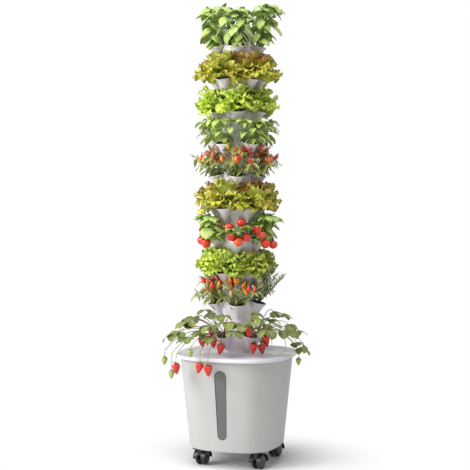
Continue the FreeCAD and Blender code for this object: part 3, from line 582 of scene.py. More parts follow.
# %% Stem materials
def stem_material(name, fresh, old, gloss=0.45):
    material, tree, shader = new_material(name)
    own = group_node(tree, places_group)
    streaks = noise(add(tree, "Mapping", {"Vector": own["Cell"], "Scale": (40.0, 3.0, 1.0)}), 1.0)
    aged = own["Along"] + (streaks - 0.6)
    colour = mixed(eased(aged, 0.0, 0.9), rgb(*old), rgb(*fresh))
    set_surface(shader, colour, ranged(streaks, 0.3, 0.7, gloss, gloss + 0.2), streaks, 0.0002)
    return material


green_stem = stem_material("stem_green", (142, 172, 86), (112, 138, 66))
brown_stem = stem_material("stem_brown", (108, 112, 66), (92, 72, 52), gloss=0.6)
runner_stem = stem_material("stem_runner", (150, 168, 96), (150, 112, 84))
print("three stem finishes made")

# %% [markdown]
# ## A mesh that grows
# A plant is hundreds of leaves, and one object for each would be slow. Each kind of foliage is instead
# one mesh, collected from many small grids of points. A grid runs across and along a leaf, or round and
# along a stem, so the same rows and columns give the faces and the map of both.

# %% Collect grids of points into one mesh
class Growth:
    """Points, faces and map of one plant piece, filled grid by grid, with random numbers of its own."""

    def __init__(self, name, seed):
        self.name = name
        self.random = np.random.default_rng(seed)
        self.between = self.random.uniform
        self.points = []
        self.faces = []
        self.places = []
        self.total = 0

    def add_grid(self, grid, closed=False):
        """Adds a grid of rows x columns points. A closed one joins its last column to its first,
        and gets a cap at each end."""
        rows, columns = grid.shape[:2]
        index = self.total + np.arange(rows * columns).reshape(rows, columns)
        if closed:
            index = np.concatenate([index, index[:, :1]], axis=1)
        tile = self.random.integers(0, MAP_TILES, 2)
        across = (tile[0] + 0.5 + TILE_FILL / 2 * np.linspace(-1, 1, index.shape[1])) / MAP_TILES
        along = (tile[1] + (1 - TILE_FILL) / 2 + TILE_FILL * np.linspace(0, 1, rows)) / MAP_TILES
        place = np.stack(np.meshgrid(across, along), axis=-1)
        self.faces.extend(self.quads(index).reshape(-1, 4).tolist())
        self.places.append(self.quads(place).reshape(-1, 2))
        if closed:
            for end, turn in ((0, 1), (-1, -1)):
                self.faces.append(index[end][:-1][::turn].tolist())
                self.places.append(place[end][:-1][::turn])
        self.points.append(grid.reshape(-1, 3))
        self.total += rows * columns

    @staticmethod
    def quads(grid):
        """The four corners of every cell of a grid, in the order that makes a leaf's face look up."""
        return np.stack([grid[:-1, :-1], grid[1:, :-1], grid[1:, 1:], grid[:-1, 1:]], axis=2)

    def piece(self, material, slot, *nodes):
        """Makes the object. It rides with the tower and stands for the named CAD nodes."""
        mesh = bpy.data.meshes.new(self.name)
        mesh.from_pydata(np.concatenate(self.points).tolist(), [], self.faces)
        layer = mesh.uv_layers.new(name="OFBake")
        layer.data.foreach_set("uv", np.concatenate(self.places).astype(np.float32).ravel())
        mesh.materials.append(material)
        mesh.shade_smooth()
        made = new_object(self.name, mesh)
        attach(made, "tower")
        if nodes:
            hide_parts(*nodes)
        print(self.name, "has", len(mesh.polygons), "faces")


print("growth collector ready")

# %% [markdown]
# ## Keeping leaves out of the plastic
# Leaves press against the tier above and drape over their own cup. Rather than testing every point
# against the CAD mesh, a tier is read as what it is: one turned column and five turned bowls that lean
# outward. A point inside one of these is moved straight out of it, which bends the leaf round it.

# %% Push points out of the tiers
POCKET_TILT = 14.0
POCKET_DEPTH = 0.53 * TIER_PITCH
BOWL_RADIUS = CUP_RADIUS + 0.002
COLUMN_HEIGHTS = np.array([0.0, 0.07, 0.34, 0.56, 0.76, 1.0]) * TIER_PITCH
COLUMN_RADII = np.array([0.0525, 0.0525, 0.063, 0.063, 0.054, 0.054])
BOWL_DEPTHS = np.array([-1.0, -0.95, -0.70, -0.40, -0.09, -0.08, 0.0]) * POCKET_DEPTH
BOWL_RADII = np.array([0.0, 0.15, 0.38, 0.66, 0.94, 1.06, 1.06]) * BOWL_RADIUS
CLEARANCE = 0.0012
TINY = 1e-6


def out_of_column(points):
    above = points[:, 2] - TOWER_FOOT
    wall = np.interp(np.mod(above, TIER_PITCH), COLUMN_HEIGHTS, COLUMN_RADII) + CLEARANCE
    reach = np.hypot(points[:, 0], points[:, 1])
    hit = (above > 0) & (points[:, 2] < TOWER_FOOT + TIER_COUNT * TIER_PITCH) & (reach < wall)
    points[:, :2] *= np.where(hit, wall / np.maximum(reach, TINY), 1.0)[:, None]


def out_of_bowl(points, number, pocket):
    mouth, angle = pocket_mouth(number, pocket)
    axis = heading(angle, 90.0 - POCKET_TILT)
    away = points - mouth
    height = away @ axis
    radial = away - height[:, None] * axis
    reach = np.linalg.norm(radial, axis=1)
    wall = np.interp(height, BOWL_DEPTHS, BOWL_RADII) + CLEARANCE
    hit = (height > -POCKET_DEPTH) & (height < 0.0) & (reach < wall)
    points[hit] += radial[hit] * ((wall - reach) / np.maximum(reach, TINY))[hit, None]


def keep_clear(points, number, own):
    """Moves points of a plant out of its own tier, the one above and the one below, its own cup last."""
    for tier in (number - 1, number, number + 1):
        if 1 <= tier <= TIER_COUNT:
            for pocket in EVERY_POCKET:
                if (tier, pocket) != (number, own):
                    out_of_bowl(points, tier, pocket)
    out_of_column(points)
    if own is not None:
        out_of_bowl(points, number, own)


print("column is", COLUMN_RADII.min() * 1000, "to", COLUMN_RADII.max() * 1000, "mm in radius")

# %% [markdown]
# ## One leaf
# A leaf's midrib is a curve that starts at one rise and ends at another, so it arches. The blade is a
# grid laid across that curve. Everything that makes one kind of leaf differ from another is a number:
# how the width runs from base to tip, how far the edges lift, how much the margin ruffles, how the
# blade swells between its veins and how the edge is toothed.

# %% Shape a leaf
ANY_PHASE = 6.3
LOBE_WAVES = (7, 13, 23)
FIXED_FOOT = 0.2
PLAIN_LEAF = dict(cup=0.0, wave=0.0, frill=0.0, jag=0.0, round_tip=0.0, quilt=0.0, slant=0.3, teeth=0)


def blade(widths):
    """Width along a leaf, from a few (place, share) pairs, as a curve half straight and half smooth."""
    places, shares = np.array(widths).T

    def share(t):
        spot = np.clip(np.searchsorted(places, t) - 1, 0, len(places) - 2)
        step = (t - places[spot]) / (places[spot + 1] - places[spot])
        soft = step * step * (3 - 2 * step)
        mix = 0.5 * step + 0.5 * soft
        return shares[spot] + (shares[spot + 1] - shares[spot]) * mix

    return share


def leaf_kind(widths, **numbers):
    """A kind of leaf, with a grid of rows x columns. What it doesn't state is as in a plain leaf."""
    return SimpleNamespace(**{**PLAIN_LEAF, "outline": blade(widths), **numbers})


def midrib(base, azimuth, rise, fall, length, rows, bend=1.0, veer=0.0, roll=0.0):
    """Points along an arching midrib, with the forward, side and up directions at each."""
    t = np.linspace(0, 1, rows + 1)
    pitch = np.radians(rise + (fall - rise) * t ** bend)
    yaw = np.radians(azimuth + veer * t)
    forward = np.stack([np.cos(pitch) * np.cos(yaw), np.cos(pitch) * np.sin(yaw), np.sin(pitch)], axis=1)
    side = np.stack([-np.sin(yaw), np.cos(yaw), np.zeros_like(yaw)], axis=1)
    up = np.cross(forward, side)
    lean = math.radians(roll)
    side, up = math.cos(lean) * side + math.sin(lean) * up, math.cos(lean) * up - math.sin(lean) * side
    steps = (forward[1:] + forward[:-1]) / 2 * (length / rows)
    line = np.asarray(base) + np.concatenate([np.zeros((1, 3)), np.cumsum(steps, axis=0)])
    return t, line, forward, side, up


def leaf(growth, plant, base, azimuth, rise, fall, length, width, kind, **turns):
    """Adds one leaf of a kind. plant is its (tier, pocket), and turns go to the midrib."""
    between = growth.between
    t, line, forward, side, up = midrib(base, azimuth, rise, fall, length, kind.rows, **turns)
    T, S = np.meshgrid(t, np.linspace(-1, 1, kind.columns + 1), indexing="ij")
    half = width / 2 * kind.outline(t)[:, None] * np.ones_like(S)
    # Lobes of the margin, and teeth
    if kind.jag:
        turn = np.arctan2(S * width / 2, (T - 0.15) * length)
        lobes = sum(np.sin(k * turn + between(0, ANY_PHASE)) for k in LOBE_WAVES) / len(LOBE_WAVES)
        half = half * (1 + kind.jag * lobes * np.abs(S) ** 3)
    if kind.teeth:
        saw = 1 - np.mod(T * kind.teeth, 1.0)
        half = half * (1 - kind.tooth * saw * np.abs(S) ** 6)
    across = half * S
    # Edges lift, and the blade swells between its veins
    lift = kind.cup * half * S * S
    if kind.quilt:
        rows_of_veins = (T - np.abs(S) * kind.slant) * kind.veins
        lift = lift + kind.quilt * np.abs(np.sin(math.pi * rows_of_veins)) * np.sin(math.pi * np.abs(S)) ** 0.7
    # Slow waves that make each leaf its own shape
    for _ in range(2):
        a, b, c = between(-3, 3, 3)
        lift = lift + kind.wave * np.sin(a * S + 2 * b * T + c) * np.clip(T * 3, 0, 1)
    # Folds that fan out from the foot and grow towards the edge
    if kind.frill:
        ends = np.clip(np.maximum(np.abs(S), (T - 0.55) / 0.45), 0, 1) ** 2
        turn = np.arctan2(S * width / 2, (T - 0.08) * length)
        phase = between(0, ANY_PHASE)
        beat = 1 + 0.35 * np.sin(2.3 * turn + between(0, ANY_PHASE))
        fold = kind.folds * turn * beat + phase
        small = np.sin(2.6 * kind.folds * turn + 2 * phase)
        lift = lift + kind.frill * ends * (np.sin(fold) + 0.35 * ends * small)
        across = across + 0.5 * kind.frill * ends * np.cos(fold)
    back = kind.round_tip * length * S * S * T * T
    grid = line[:, None, :] + side[:, None, :] * across[..., None]
    grid = grid + up[:, None, :] * lift[..., None] - forward[:, None, :] * back[..., None]
    # All but the foot keeps clear of the plastic
    moved = grid.reshape(-1, 3).copy()
    keep_clear(moved, *plant)
    free = t[:, None, None] > FIXED_FOOT
    growth.add_grid(np.where(free, moved.reshape(grid.shape), grid))


print("leaf maker ready")

# %% [markdown]
# Stems, stalks and peppers are tubes along a line, with a radius that may change. Round fruit is the
# other case: a profile turned about an axis.

# %% Shape stems and fruit
FRUIT_SIDES = 20
ROOT_STEP = 0.004


def rings(along, guide, sides, flutes=0, flute=0.0):
    """Directions round an axis, or round each point of a line. Flutes swell and narrow them."""
    first = np.cross(along, guide)
    first /= np.linalg.norm(first, axis=-1, keepdims=True)
    second = np.cross(along, first)
    turn = np.linspace(0, -2 * math.pi, sides, endpoint=False)
    loop = np.cos(turn)[:, None] * first[..., None, :] + np.sin(turn)[:, None] * second[..., None, :]
    return loop * (1 + flute * np.cos(flutes * turn))[:, None]


def tube(growth, line, radii, sides=6):
    """A capped tube along a line of points."""
    line = np.asarray(line, dtype=float)
    radii = np.interp(np.linspace(0, 1, len(line)), np.linspace(0, 1, len(radii)), radii)
    along = np.gradient(line, axis=0)
    along /= np.linalg.norm(along, axis=1)[:, None]
    guide = (0.31, 0.17, 0.93) if abs(along[:, 2]).mean() < 0.8 else (0.9, 0.4, 0.1)
    growth.add_grid(line[:, None, :] + rings(along, guide, sides) * radii[:, None, None], closed=True)


def stem(growth, base, azimuth, rise, fall, length, radii, rows=7, sides=6, **turns):
    """An arching stem. Returns its midrib, so that leaves can sit on it."""
    line = midrib(base, azimuth, rise, fall, length, rows, **turns)[1]
    tube(growth, line, radii, sides)
    return line


def fanned(angle, number, count, width):
    """The azimuth of one of a number of stems that fan out evenly to both sides of an angle."""
    return angle + (number / (count - 1) - 0.5) * width


def along_line(line, share):
    """The point a share of the way along a line, and the azimuth of the line there."""
    place = share * (len(line) - 1)
    low = min(int(place), len(line) - 2)
    step = line[low + 1] - line[low]
    return line[low] + step * (place - low), azimuth_of(step)


def turned(growth, profile, radius, origin, axis, **flutes):
    """A solid of revolution from (radius, height) pairs about an axis through origin."""
    radii, heights = np.array(profile).T * radius
    loop = rings(axis, (0.31, 0.95, 0.05), FRUIT_SIDES, **flutes)
    growth.add_grid(origin + heights[:, None, None] * axis + radii[:, None, None] * loop, closed=True)


def nearly_up(growth, most):
    """A direction close to straight up, as a fruit hangs. most is its largest lean to a side."""
    axis = np.array([growth.between(-most, most), growth.between(-most, most), 1.0])
    return axis / np.linalg.norm(axis)


print("tube and turned shapes ready")

# %% [markdown]
# ## Basil
# Basil has upright stems with leaves in opposite pairs, each pair turned a quarter from the one below,
# and a tight crown of young leaves on top. The blade is egg-shaped, domed and puffed between its veins.

# %% Grow basil
basil_leaf = leaf_kind(
    [(0.0, 0.09), (0.10, 0.12), (0.24, 0.66), (0.46, 1.0), (0.70, 0.84), (0.90, 0.38), (1.0, 0.05)],
    rows=11, columns=8, cup=-0.30, wave=0.0012, quilt=0.0016, veins=6.0, slant=0.34)


def paired_herb(leaves, stems, place, kind, stem_count, height, size, slim, fan, upright, levels, droop, tent):
    """Upright stems with opposite pairs of leaves and a crown on top.

    droop is how far the tips hang, and a small tent makes a leaf bend sharply at its foot.
    """
    mouth, angle = pocket_mouth(*place)
    between = leaves.between

    def grow(spot, long, azimuth, rise, fall, **turns):
        leaf(leaves, place, spot, azimuth, rise, fall, long, long * slim, kind, **turns)

    for number in range(stem_count):
        towards = fanned(angle, number, stem_count, fan) + between(-14, 14)
        root = mouth + heading(towards) * between(0.004, 0.012)
        tall = height * between(0.80, 1.08)
        rise = upright + between(-6, 6)
        line = stem(stems, root, towards, rise, rise + between(0, 18), tall, (0.0023, 0.0014))
        turn = between(0, 180)
        for level in range(levels):
            share = 0.22 + 0.74 * level / (levels - 1)
            spot, _ = along_line(line, share)
            big = size * (0.78 + 0.42 * math.sin(math.pi * (level + 0.6) / levels)) * (1 - 0.25 * share)
            quarter = turn + 90 * level
            for side in (0, 180):
                grow(spot, big * between(0.85, 1.12), quarter + side + between(-16, 16), between(0, 34),
                     droop + between(-10, 20), bend=tent * between(0.85, 1.25), roll=between(-14, 14),
                     veer=between(-14, 14))
            grow(spot, size * between(0.40, 0.56), quarter + 50, between(35, 60), between(-50, 0))
        for young in range(5):
            grow(line[-1], size * between(0.72, 1.0), turn + 76 * young, between(30, 58), between(-80, -40),
                 bend=between(0.6, 0.9), roll=between(-12, 12))
        for youngest in range(3):
            grow(line[-1], size * between(0.34, 0.50), turn + 30 + 120 * youngest, between(56, 80),
                 between(-30, 20))


def herb_tier(name, seed, tier, pockets, kind, finish, slot, **habit):
    leaves = Growth(name + "_leaves", seed)
    stems = Growth(name + "_stems", seed + 1)
    for pocket in pockets:
        paired_herb(leaves, stems, (tier, pocket), kind, **habit)
    leaves.piece(finish, slot, name)
    stems.piece(green_stem, slot)


herb_tier("basil_top", 11, 1, EVERY_POCKET, basil_leaf, basil_finish, "leaf_basil", stem_count=3,
          height=0.130, size=0.060, slim=0.60, fan=100, upright=72, levels=5, droop=-82, tent=0.55)
herb_tier("basil_side", 13, 7, (1, 2, 4), basil_leaf, basil_finish, "leaf_basil", stem_count=4,
          height=0.086, size=0.058, slim=0.64, fan=120, upright=58, levels=5, droop=-82, tent=0.55)

# %% [markdown]
# The fourth tier holds a mint-like herb with the same habit, but with more stems and slimmer leaves.

# %% Grow the slim-leaved herb
herb_leaf = leaf_kind(
    [(0.0, 0.12), (0.08, 0.18), (0.24, 0.72), (0.45, 1.0), (0.72, 0.78), (0.92, 0.30), (1.0, 0.06)],
    rows=9, columns=6, cup=0.16, wave=0.0012, quilt=0.0009, veins=7.0, slant=0.28, teeth=9, tooth=0.10)
herb_tier("herb_upper", 21, 4, EVERY_POCKET, herb_leaf, herb_finish, "leaf_herb", stem_count=4,
          height=0.080, size=0.054, slim=0.48, fan=128, upright=56, levels=4, droop=-62, tent=0.75)

# %% [markdown]
# ## Lettuce
# Loose-leaf lettuce is a rosette: outer leaves droop over the cup, inner ones stand up round the heart.
# The margin is longer than the leaf has room for, so it folds to and fro. Ripples that fan out from the
# leaf's foot and grow towards the edge give that frill.

# %% Grow lettuce
GOLDEN_TURN = 137.5
HEART_SHARE = 0.68
lettuce_leaf = leaf_kind(
    [(0.0, 0.20), (0.16, 0.32), (0.42, 0.76), (0.70, 1.0), (0.90, 0.96), (1.0, 0.70)],
    rows=24, columns=24, cup=0.20, wave=0.0034, frill=0.0078, folds=24, jag=0.30, round_tip=0.15)
curly_leaf = leaf_kind(
    [(0.0, 0.16), (0.16, 0.30), (0.42, 0.80), (0.70, 1.0), (0.90, 0.90), (1.0, 0.60)],
    rows=22, columns=22, cup=0.16, wave=0.0030, frill=0.0086, folds=22, jag=0.36, round_tip=0.14)


def lettuce(outer, heart, place, kind, size, count):
    """A rosette of frilled leaves: short and drooping outside, long and upright in the heart."""
    mouth, angle = pocket_mouth(*place)
    between = outer.between
    for number in range(count):
        share = number / (count - 1)
        away = (number * GOLDEN_TURN + between(-20, 20)) % 360 - 180
        towards = angle + away * (0.56 + 0.30 * share)
        rise = 18 + 62 * share + between(-8, 8)
        fall = -58 + 108 * share + between(-20, 20)
        long = size * (0.78 + 0.26 * share) * between(0.86, 1.08)
        root = mouth + heading(towards) * 0.006 * (1 - share)
        leaf(heart if share > HEART_SHARE else outer, place, root, towards, rise, fall, long,
             long * between(0.52, 0.70), kind, bend=between(0.9, 1.8), roll=between(-24, 24),
             veer=between(-26, 26))


def lettuce_tier(name, seed, tier, pockets, kind, finish, slot, size, count, red_hearts=(), node=True):
    """Heads in some pockets of a tier, which stand for the CAD node of the same name if there is one.

    Those in red_hearts have their inner leaves in another finish.
    """
    growth = Growth(name + "_leaves", seed)
    inner = Growth(name + "_hearts", seed + 100)
    for pocket in pockets:
        lettuce(growth, inner if pocket in red_hearts else growth, (tier, pocket), kind, size, count)
    growth.piece(finish, slot, *([name] if node else []))
    if red_hearts:
        inner.piece(heart_finish, slot)


red = (lettuce_leaf, red_finish, "leaf_red")
green = (lettuce_leaf, bright_finish, "leaf_bright")
curly = (curly_leaf, curly_finish, "leaf_bright")
lettuce_tier("lettuce_red_upper", 31, 2, EVERY_POCKET, *red, 0.096, 26, red_hearts=(0, 2))
lettuce_tier("lettuce_green_upper", 32, 3, EVERY_POCKET, *green, 0.086, 24)
lettuce_tier("lettuce_red_lower", 33, 6, EVERY_POCKET, *red, 0.096, 26, red_hearts=(0, 3))
lettuce_tier("lettuce_green_lower", 34, 8, (2, 3, 4), *green, 0.088, 26)
lettuce_tier("curly_lower", 35, 8, (0, 1), *curly, 0.078, 26, node=False)

# %% [markdown]
# ## Fruit finishes
# Ripe fruit is glossy with a waxy sheen. The tile's own number gives each pepper and tomato its
# ripeness. A strawberry has rows of small seeds, each in a dimple, which are cells laid round and along
# it. Its unripe fruits are a piece and a finish of their own.

# %% Fruit materials
FLESH = dict(Subsurface_Weight=0.12, Subsurface_Scale=0.004)
SEED_ROWS = 9.0
SEED_COLUMNS = 13.0


def fruit_material(name, ripe, other, raw, share_other, share_raw):
    """Ripe for most fruits, another colour for some, and unripe for a few, by the number of the tile."""
    material, tree, shader = new_material(name)
    own = group_node(tree, places_group)
    patches = noise(vector("MULTIPLY", own["Cell"], (4.0, 4.0, 4.0)), 1.0)
    skin = mixed(own["Tint"].math("LESS_THAN", share_other), rgb(*ripe), rgb(*other))
    skin = mixed(own["Shade"].math("LESS_THAN", share_raw), skin, rgb(*raw))
    skin = mixed(eased(patches, 0.45, 0.8) * 0.25, skin, rgb(*other))
    set_surface(shader, skin, ranged(patches, 0.3, 0.7, 0.16, 0.28), patches, 0.0003)
    wire(shader, Coat_Weight=0.4, Coat_Roughness=0.12, Subsurface_Radius=(1.0, 0.25, 0.12), **FLESH)
    return material


def berry_material(name, ripe, deep, shoulder, seed):
    material, tree, shader = new_material(name)
    own = group_node(tree, places_group)
    rows = own["Along"] * SEED_ROWS
    shift = rows.math("FLOOR").math("MODULO", 2.0) * 0.5
    dx = (own["Across"] * (SEED_COLUMNS / 2) + shift).math("FRACT") - 0.5
    dy = rows.math("FRACT") - 0.5
    far = (dx * dx * 1.8 + dy * dy * 0.8).math("SQRT")
    pip = 1.0 - eased(far, 0.10, 0.17)
    dimple = eased(far, 0.12, 0.42)
    flesh = mixed(eased(own["Along"], 0.80, 1.02), rgb(*ripe), rgb(*shoulder))
    flesh = mixed(dimple * 0.45, flesh, rgb(*deep))
    colour = mixed(pip, flesh, rgb(*seed))
    set_surface(shader, colour, ranged(pip, 0.0, 1.0, 0.24, 0.5), dimple + pip * 0.5, 0.0012)
    wire(shader, Coat_Weight=0.25, Subsurface_Radius=(1.0, 0.25, 0.15), **FLESH)
    return material


chilli_skin = fruit_material("fruit_chilli", (226, 30, 24), (244, 136, 30), (232, 206, 70), 0.22, 0.16)
tomato_skin = fruit_material("fruit_tomato", (224, 44, 26), (236, 84, 36), (222, 52, 28), 0.35, 0.0)
ripe_berry = berry_material("berry_ripe", (238, 44, 36), (190, 22, 24), (240, 130, 90), (236, 190, 96))
raw_berry = berry_material("berry_raw", (190, 204, 116), (160, 178, 88), (208, 218, 144), (190, 168, 84))
petal_cream = leaf_material(
    "petal_cream", (226, 224, 176), (246, 244, 214), (214, 214, 140),
    veins=(3.0, 0.2, 0.1), rib_width=0.2, gloss=0.5, under=(236, 234, 200))
print("fruit finishes made")

# %% [markdown]
# ## Chilli peppers
# The plant is a small bush: six branches fan out of the cup, with whorls of narrow drooping leaves and
# bunches of peppers that point up. Cream flowers sit between them, and some pods are still unripe.

# %% Grow the pepper bushes
BRANCHES = 6
LEAVES_AT_LEVEL = (3, 2, 1, 6)
pepper_leaf = leaf_kind(
    [(0.0, 0.10), (0.12, 0.22), (0.38, 1.0), (0.66, 0.72), (0.90, 0.26), (1.0, 0.04)],
    rows=10, columns=4, cup=0.22, wave=0.0014)
sepal = leaf_kind([(0.0, 0.5), (0.3, 1.0), (1.0, 0.08)], rows=4, columns=2, cup=0.2)
petal = leaf_kind([(0.0, 0.4), (0.6, 1.0), (1.0, 0.5)], rows=3, columns=2, cup=0.3)


def chilli(fruits, caps, root, azimuth, rise, length, radius):
    """An upright pepper with a curved tip and a green cap at its foot."""
    _, line, forward, _, _ = midrib(root, azimuth, rise, rise + fruits.between(-16, 22), length, 8)
    tube(fruits, line, np.array([0.62, 1.0, 0.98, 0.80, 0.46, 0.08]) * radius, sides=9)
    cap = [line[0] + forward[0] * step for step in (-0.004, 0.0004, 0.0022)]
    tube(caps, cap, (0.0009, 0.66 * radius, 0.80 * radius), sides=7)


def flower(petals, place, centre):
    """A small open flower with five petals."""
    start = petals.between(0, 72)
    for number in range(5):
        leaf(petals, (place[0], None), centre, start + 72 * number, 25, -15, 0.0065, 0.0042, petal)


def pepper_bush(leaves, stems, fruits, petals, place, reach):
    mouth, angle = pocket_mouth(*place)
    between = leaves.between
    for number in range(BRANCHES):
        towards = fanned(angle, number, BRANCHES, 190) + between(-14, 14)
        rise = between(14, 36) if number % 2 == 0 else between(44, 74)
        long = reach * between(0.85, 1.20)
        root = mouth + heading(towards) * ROOT_STEP
        line = stem(stems, root, towards, rise, rise + 14, long, (0.0022, 0.0012))
        for level, count in enumerate(LEAVES_AT_LEVEL):
            spot, _ = along_line(line, 0.34 + 0.66 * level / 3)
            for _ in range(count):
                size = between(0.034, 0.050)
                leaf(leaves, place, spot, between(0, 360), between(-5, 45), between(-86, -36), size,
                     size * between(0.24, 0.31), pepper_leaf, bend=between(0.5, 1.0), veer=between(-20, 20),
                     roll=between(-20, 20))
        for _ in range(3):
            size = between(0.026, 0.038)
            leaf(leaves, place, line[-1], between(0, 360), between(40, 75), between(10, 60), size, size * 0.28,
                 pepper_leaf)
        for _ in range(leaves.random.integers(2, 5)):
            out = between(0, 360)
            spot, _ = along_line(line, between(0.62, 1.0))
            stalk = stem(stems, spot, out, 20, 70, between(0.007, 0.014), (0.0009, 0.0010), rows=3, sides=5)
            chilli(fruits, stems, stalk[-1], out, between(50, 88), between(0.023, 0.032),
                   between(0.0058, 0.0078))
        for _ in range(2):
            spot, _ = along_line(line, between(0.55, 1.0))
            flower(petals, place, spot + heading(between(0, 360), between(-20, 60)) * 0.012)


def pepper_tier(name, seed, tier, pockets, reach):
    leaves, stems, fruits, petals = (
        Growth(name + part, seed + number)
        for number, part in enumerate(("_leaves", "_stems", "_fruits", "_flowers")))
    for pocket in pockets:
        pepper_bush(leaves, stems, fruits, petals, (tier, pocket), reach)
    leaves.piece(pepper_finish, "leaf_pepper", name)
    stems.piece(green_stem, "leaf_pepper")
    fruits.piece(chilli_skin, "fruit_red")
    petals.piece(petal_cream, "leaf_pepper")


pepper_tier("pepper_upper", 41, 5, EVERY_POCKET, 0.078)
pepper_tier("pepper_lower", 45, 9, (0, 2, 3, 4), 0.074)

# %% [markdown]
# ## Places measured in the photograph
# The cherry tomatoes and the strawberries hang in bunches whose places can be read from the photograph:
# how far right of the tower's middle, and how high. Only the depth is missing, and it follows from what
# carries the fruit. This helper turns the three into a place in the model, allowing for perspective.

# %% From a place in the picture to a place in the model
OVER_SHARE = 0.65


def seen_at(across, height, depth):
    """Point at a depth towards the camera that covers a place on the upright plane through the tower."""
    share = (CAMERA_REACH - depth) / CAMERA_REACH
    flat = to_right * (across * share) + to_camera * depth
    return np.array([flat.x, flat.y, CAMERA_HEIGHT + (height - CAMERA_HEIGHT) * share])


def hanging_line(start, end, lift, count=14):
    """A line from start to end that first rises and then hangs down."""
    t = np.linspace(0, 1, count)[:, None]
    over = start * (1 - OVER_SHARE) + end * OVER_SHARE
    over[2] = max(start[2], end[2]) + lift
    return start * (1 - t) ** 2 + 2 * over * t * (1 - t) + end * t ** 2


print("the camera sees the tower's foot at", seen_at(0.0, TOWER_FOOT, 0.0).round(3))

# %% [markdown]
# ## Cherry tomatoes
# Each tomato is a slightly flattened ball with a dimple on top, where five narrow sepals and a short
# stalk sit. It hangs over the cup's lip on a thin vine.

# %% Grow the tomatoes
TOMATO_TIER = 7
FRONT_POCKET, BACK_POCKET = 0, 3
TOMATO_PLACES = [
    (0.0151, 0.834, 0.104), (-0.0287, 0.817, 0.104), (-0.0217, 0.785, 0.122), (0.0043, 0.766, 0.124),
    (0.0325, 0.782, 0.118), (0.0682, 0.809, 0.088), (0.0855, 0.792, 0.082), (0.0987, 0.760, 0.078),
    (0.1251, 0.757, 0.062), (-0.1086, 0.764, 0.066),
]
SIDE_BUNCH = 0.05
VINE_ASIDE = 0.012
BACK_TOMATOES = 8
TOMATO_RADIUS = 0.0158
TOMATO_PROFILE = [
    (0.02, -0.90), (0.30, -0.86), (0.58, -0.73), (0.80, -0.52), (0.95, -0.22), (1.0, 0.08), (0.95, 0.38),
    (0.80, 0.64), (0.56, 0.82), (0.34, 0.88), (0.16, 0.85), (0.02, 0.80),
]
TOMATO_LEAVES = 11
tomato_leaf = leaf_kind(
    [(0.0, 0.10), (0.10, 0.22), (0.30, 0.95), (0.52, 1.0), (0.76, 0.60), (1.0, 0.05)],
    rows=14, columns=6, cup=0.12, wave=0.0016, quilt=0.0010, veins=6.0, teeth=5, tooth=0.34)

tomatoes = Growth("tomato_fruits", 51)
tomato_leaves = Growth("tomato_leaves", 52)
tomato_stems = Growth("tomato_stems", 53)


def tomato(centre, root):
    """A tomato with its sepals and its stalk, on a vine from root."""
    between = tomatoes.between
    radius = TOMATO_RADIUS * between(0.94, 1.06)
    axis = nearly_up(tomatoes, 0.3)
    turned(tomatoes, TOMATO_PROFILE, radius, centre, axis, flutes=5, flute=0.012)
    foot = centre + axis * radius * 0.82
    start = between(0, 72)
    for number in range(5):
        leaf(tomato_leaves, (TOMATO_TIER, None), foot + axis * 0.0012, start + 72 * number, between(0, 20),
             between(-10, 40), between(0.011, 0.014), 0.0036, sepal)
    top = foot + axis * 0.010
    tube(tomato_stems, [foot, (foot + top) / 2, top], (0.0011, 0.0009), sides=5)
    tube(tomato_stems, hanging_line(root, top, 0.020), (0.0018, 0.0011))


def compound_leaf(place, root, towards, rise, long):
    """A tomato leaf: a stalk with three pairs of toothed leaflets and one at the end."""
    between = tomato_leaves.between
    line = stem(tomato_stems, root, towards, rise, rise - between(40, 75), long, (0.0016, 0.0008))
    for share, scale in ((0.42, 0.75), (0.66, 1.0), (0.86, 1.0)):
        spot, aim = along_line(line, share)
        for side in (-1, 1):
            size = between(0.026, 0.036) * scale
            leaf(tomato_leaves, place, spot, aim + side * between(48, 72), between(0, 20), between(-50, -15),
                 size, size * 0.50, tomato_leaf, roll=between(-15, 15))
    spot, aim = along_line(line, 0.98)
    leaf(tomato_leaves, place, spot, aim, rise - 50, rise - 85, 0.036, 0.019, tomato_leaf)


mouth, _ = pocket_mouth(TOMATO_TIER, FRONT_POCKET)
for across, height, depth in TOMATO_PLACES:
    side = np.sign(across) if abs(across) > SIDE_BUNCH else 0.0
    tomato(seen_at(across, height, depth), mouth + np.array(to_right) * side * VINE_ASIDE)

mouth, angle = pocket_mouth(TOMATO_TIER, BACK_POCKET)
for number in range(BACK_TOMATOES):
    away = fanned(angle, number, BACK_TOMATOES, 120)
    tomato(around(away, 0.118 + 0.006 * (number % 2), 0.755 + 0.017 * (number * 3 % 5)), mouth)

between = tomato_leaves.between
for pocket in (FRONT_POCKET, BACK_POCKET):
    mouth, angle = pocket_mouth(TOMATO_TIER, pocket)
    for number in range(TOMATO_LEAVES):
        towards = fanned(angle, number, TOMATO_LEAVES, 220) + between(-10, 10)
        compound_leaf((TOMATO_TIER, pocket), mouth, towards, between(48, 78), between(0.060, 0.092))

tomatoes.piece(tomato_skin, "fruit_red")
tomato_leaves.piece(tomato_finish, "leaf_tomato", "tomato_vines")
tomato_stems.piece(green_stem, "leaf_tomato")

# %% [markdown]
# ## Rosemary
# Rosemary is a sheaf of woody stems packed with stiff needles that point up and out. A needle is a leaf
# with only two columns of faces, folded along its middle.

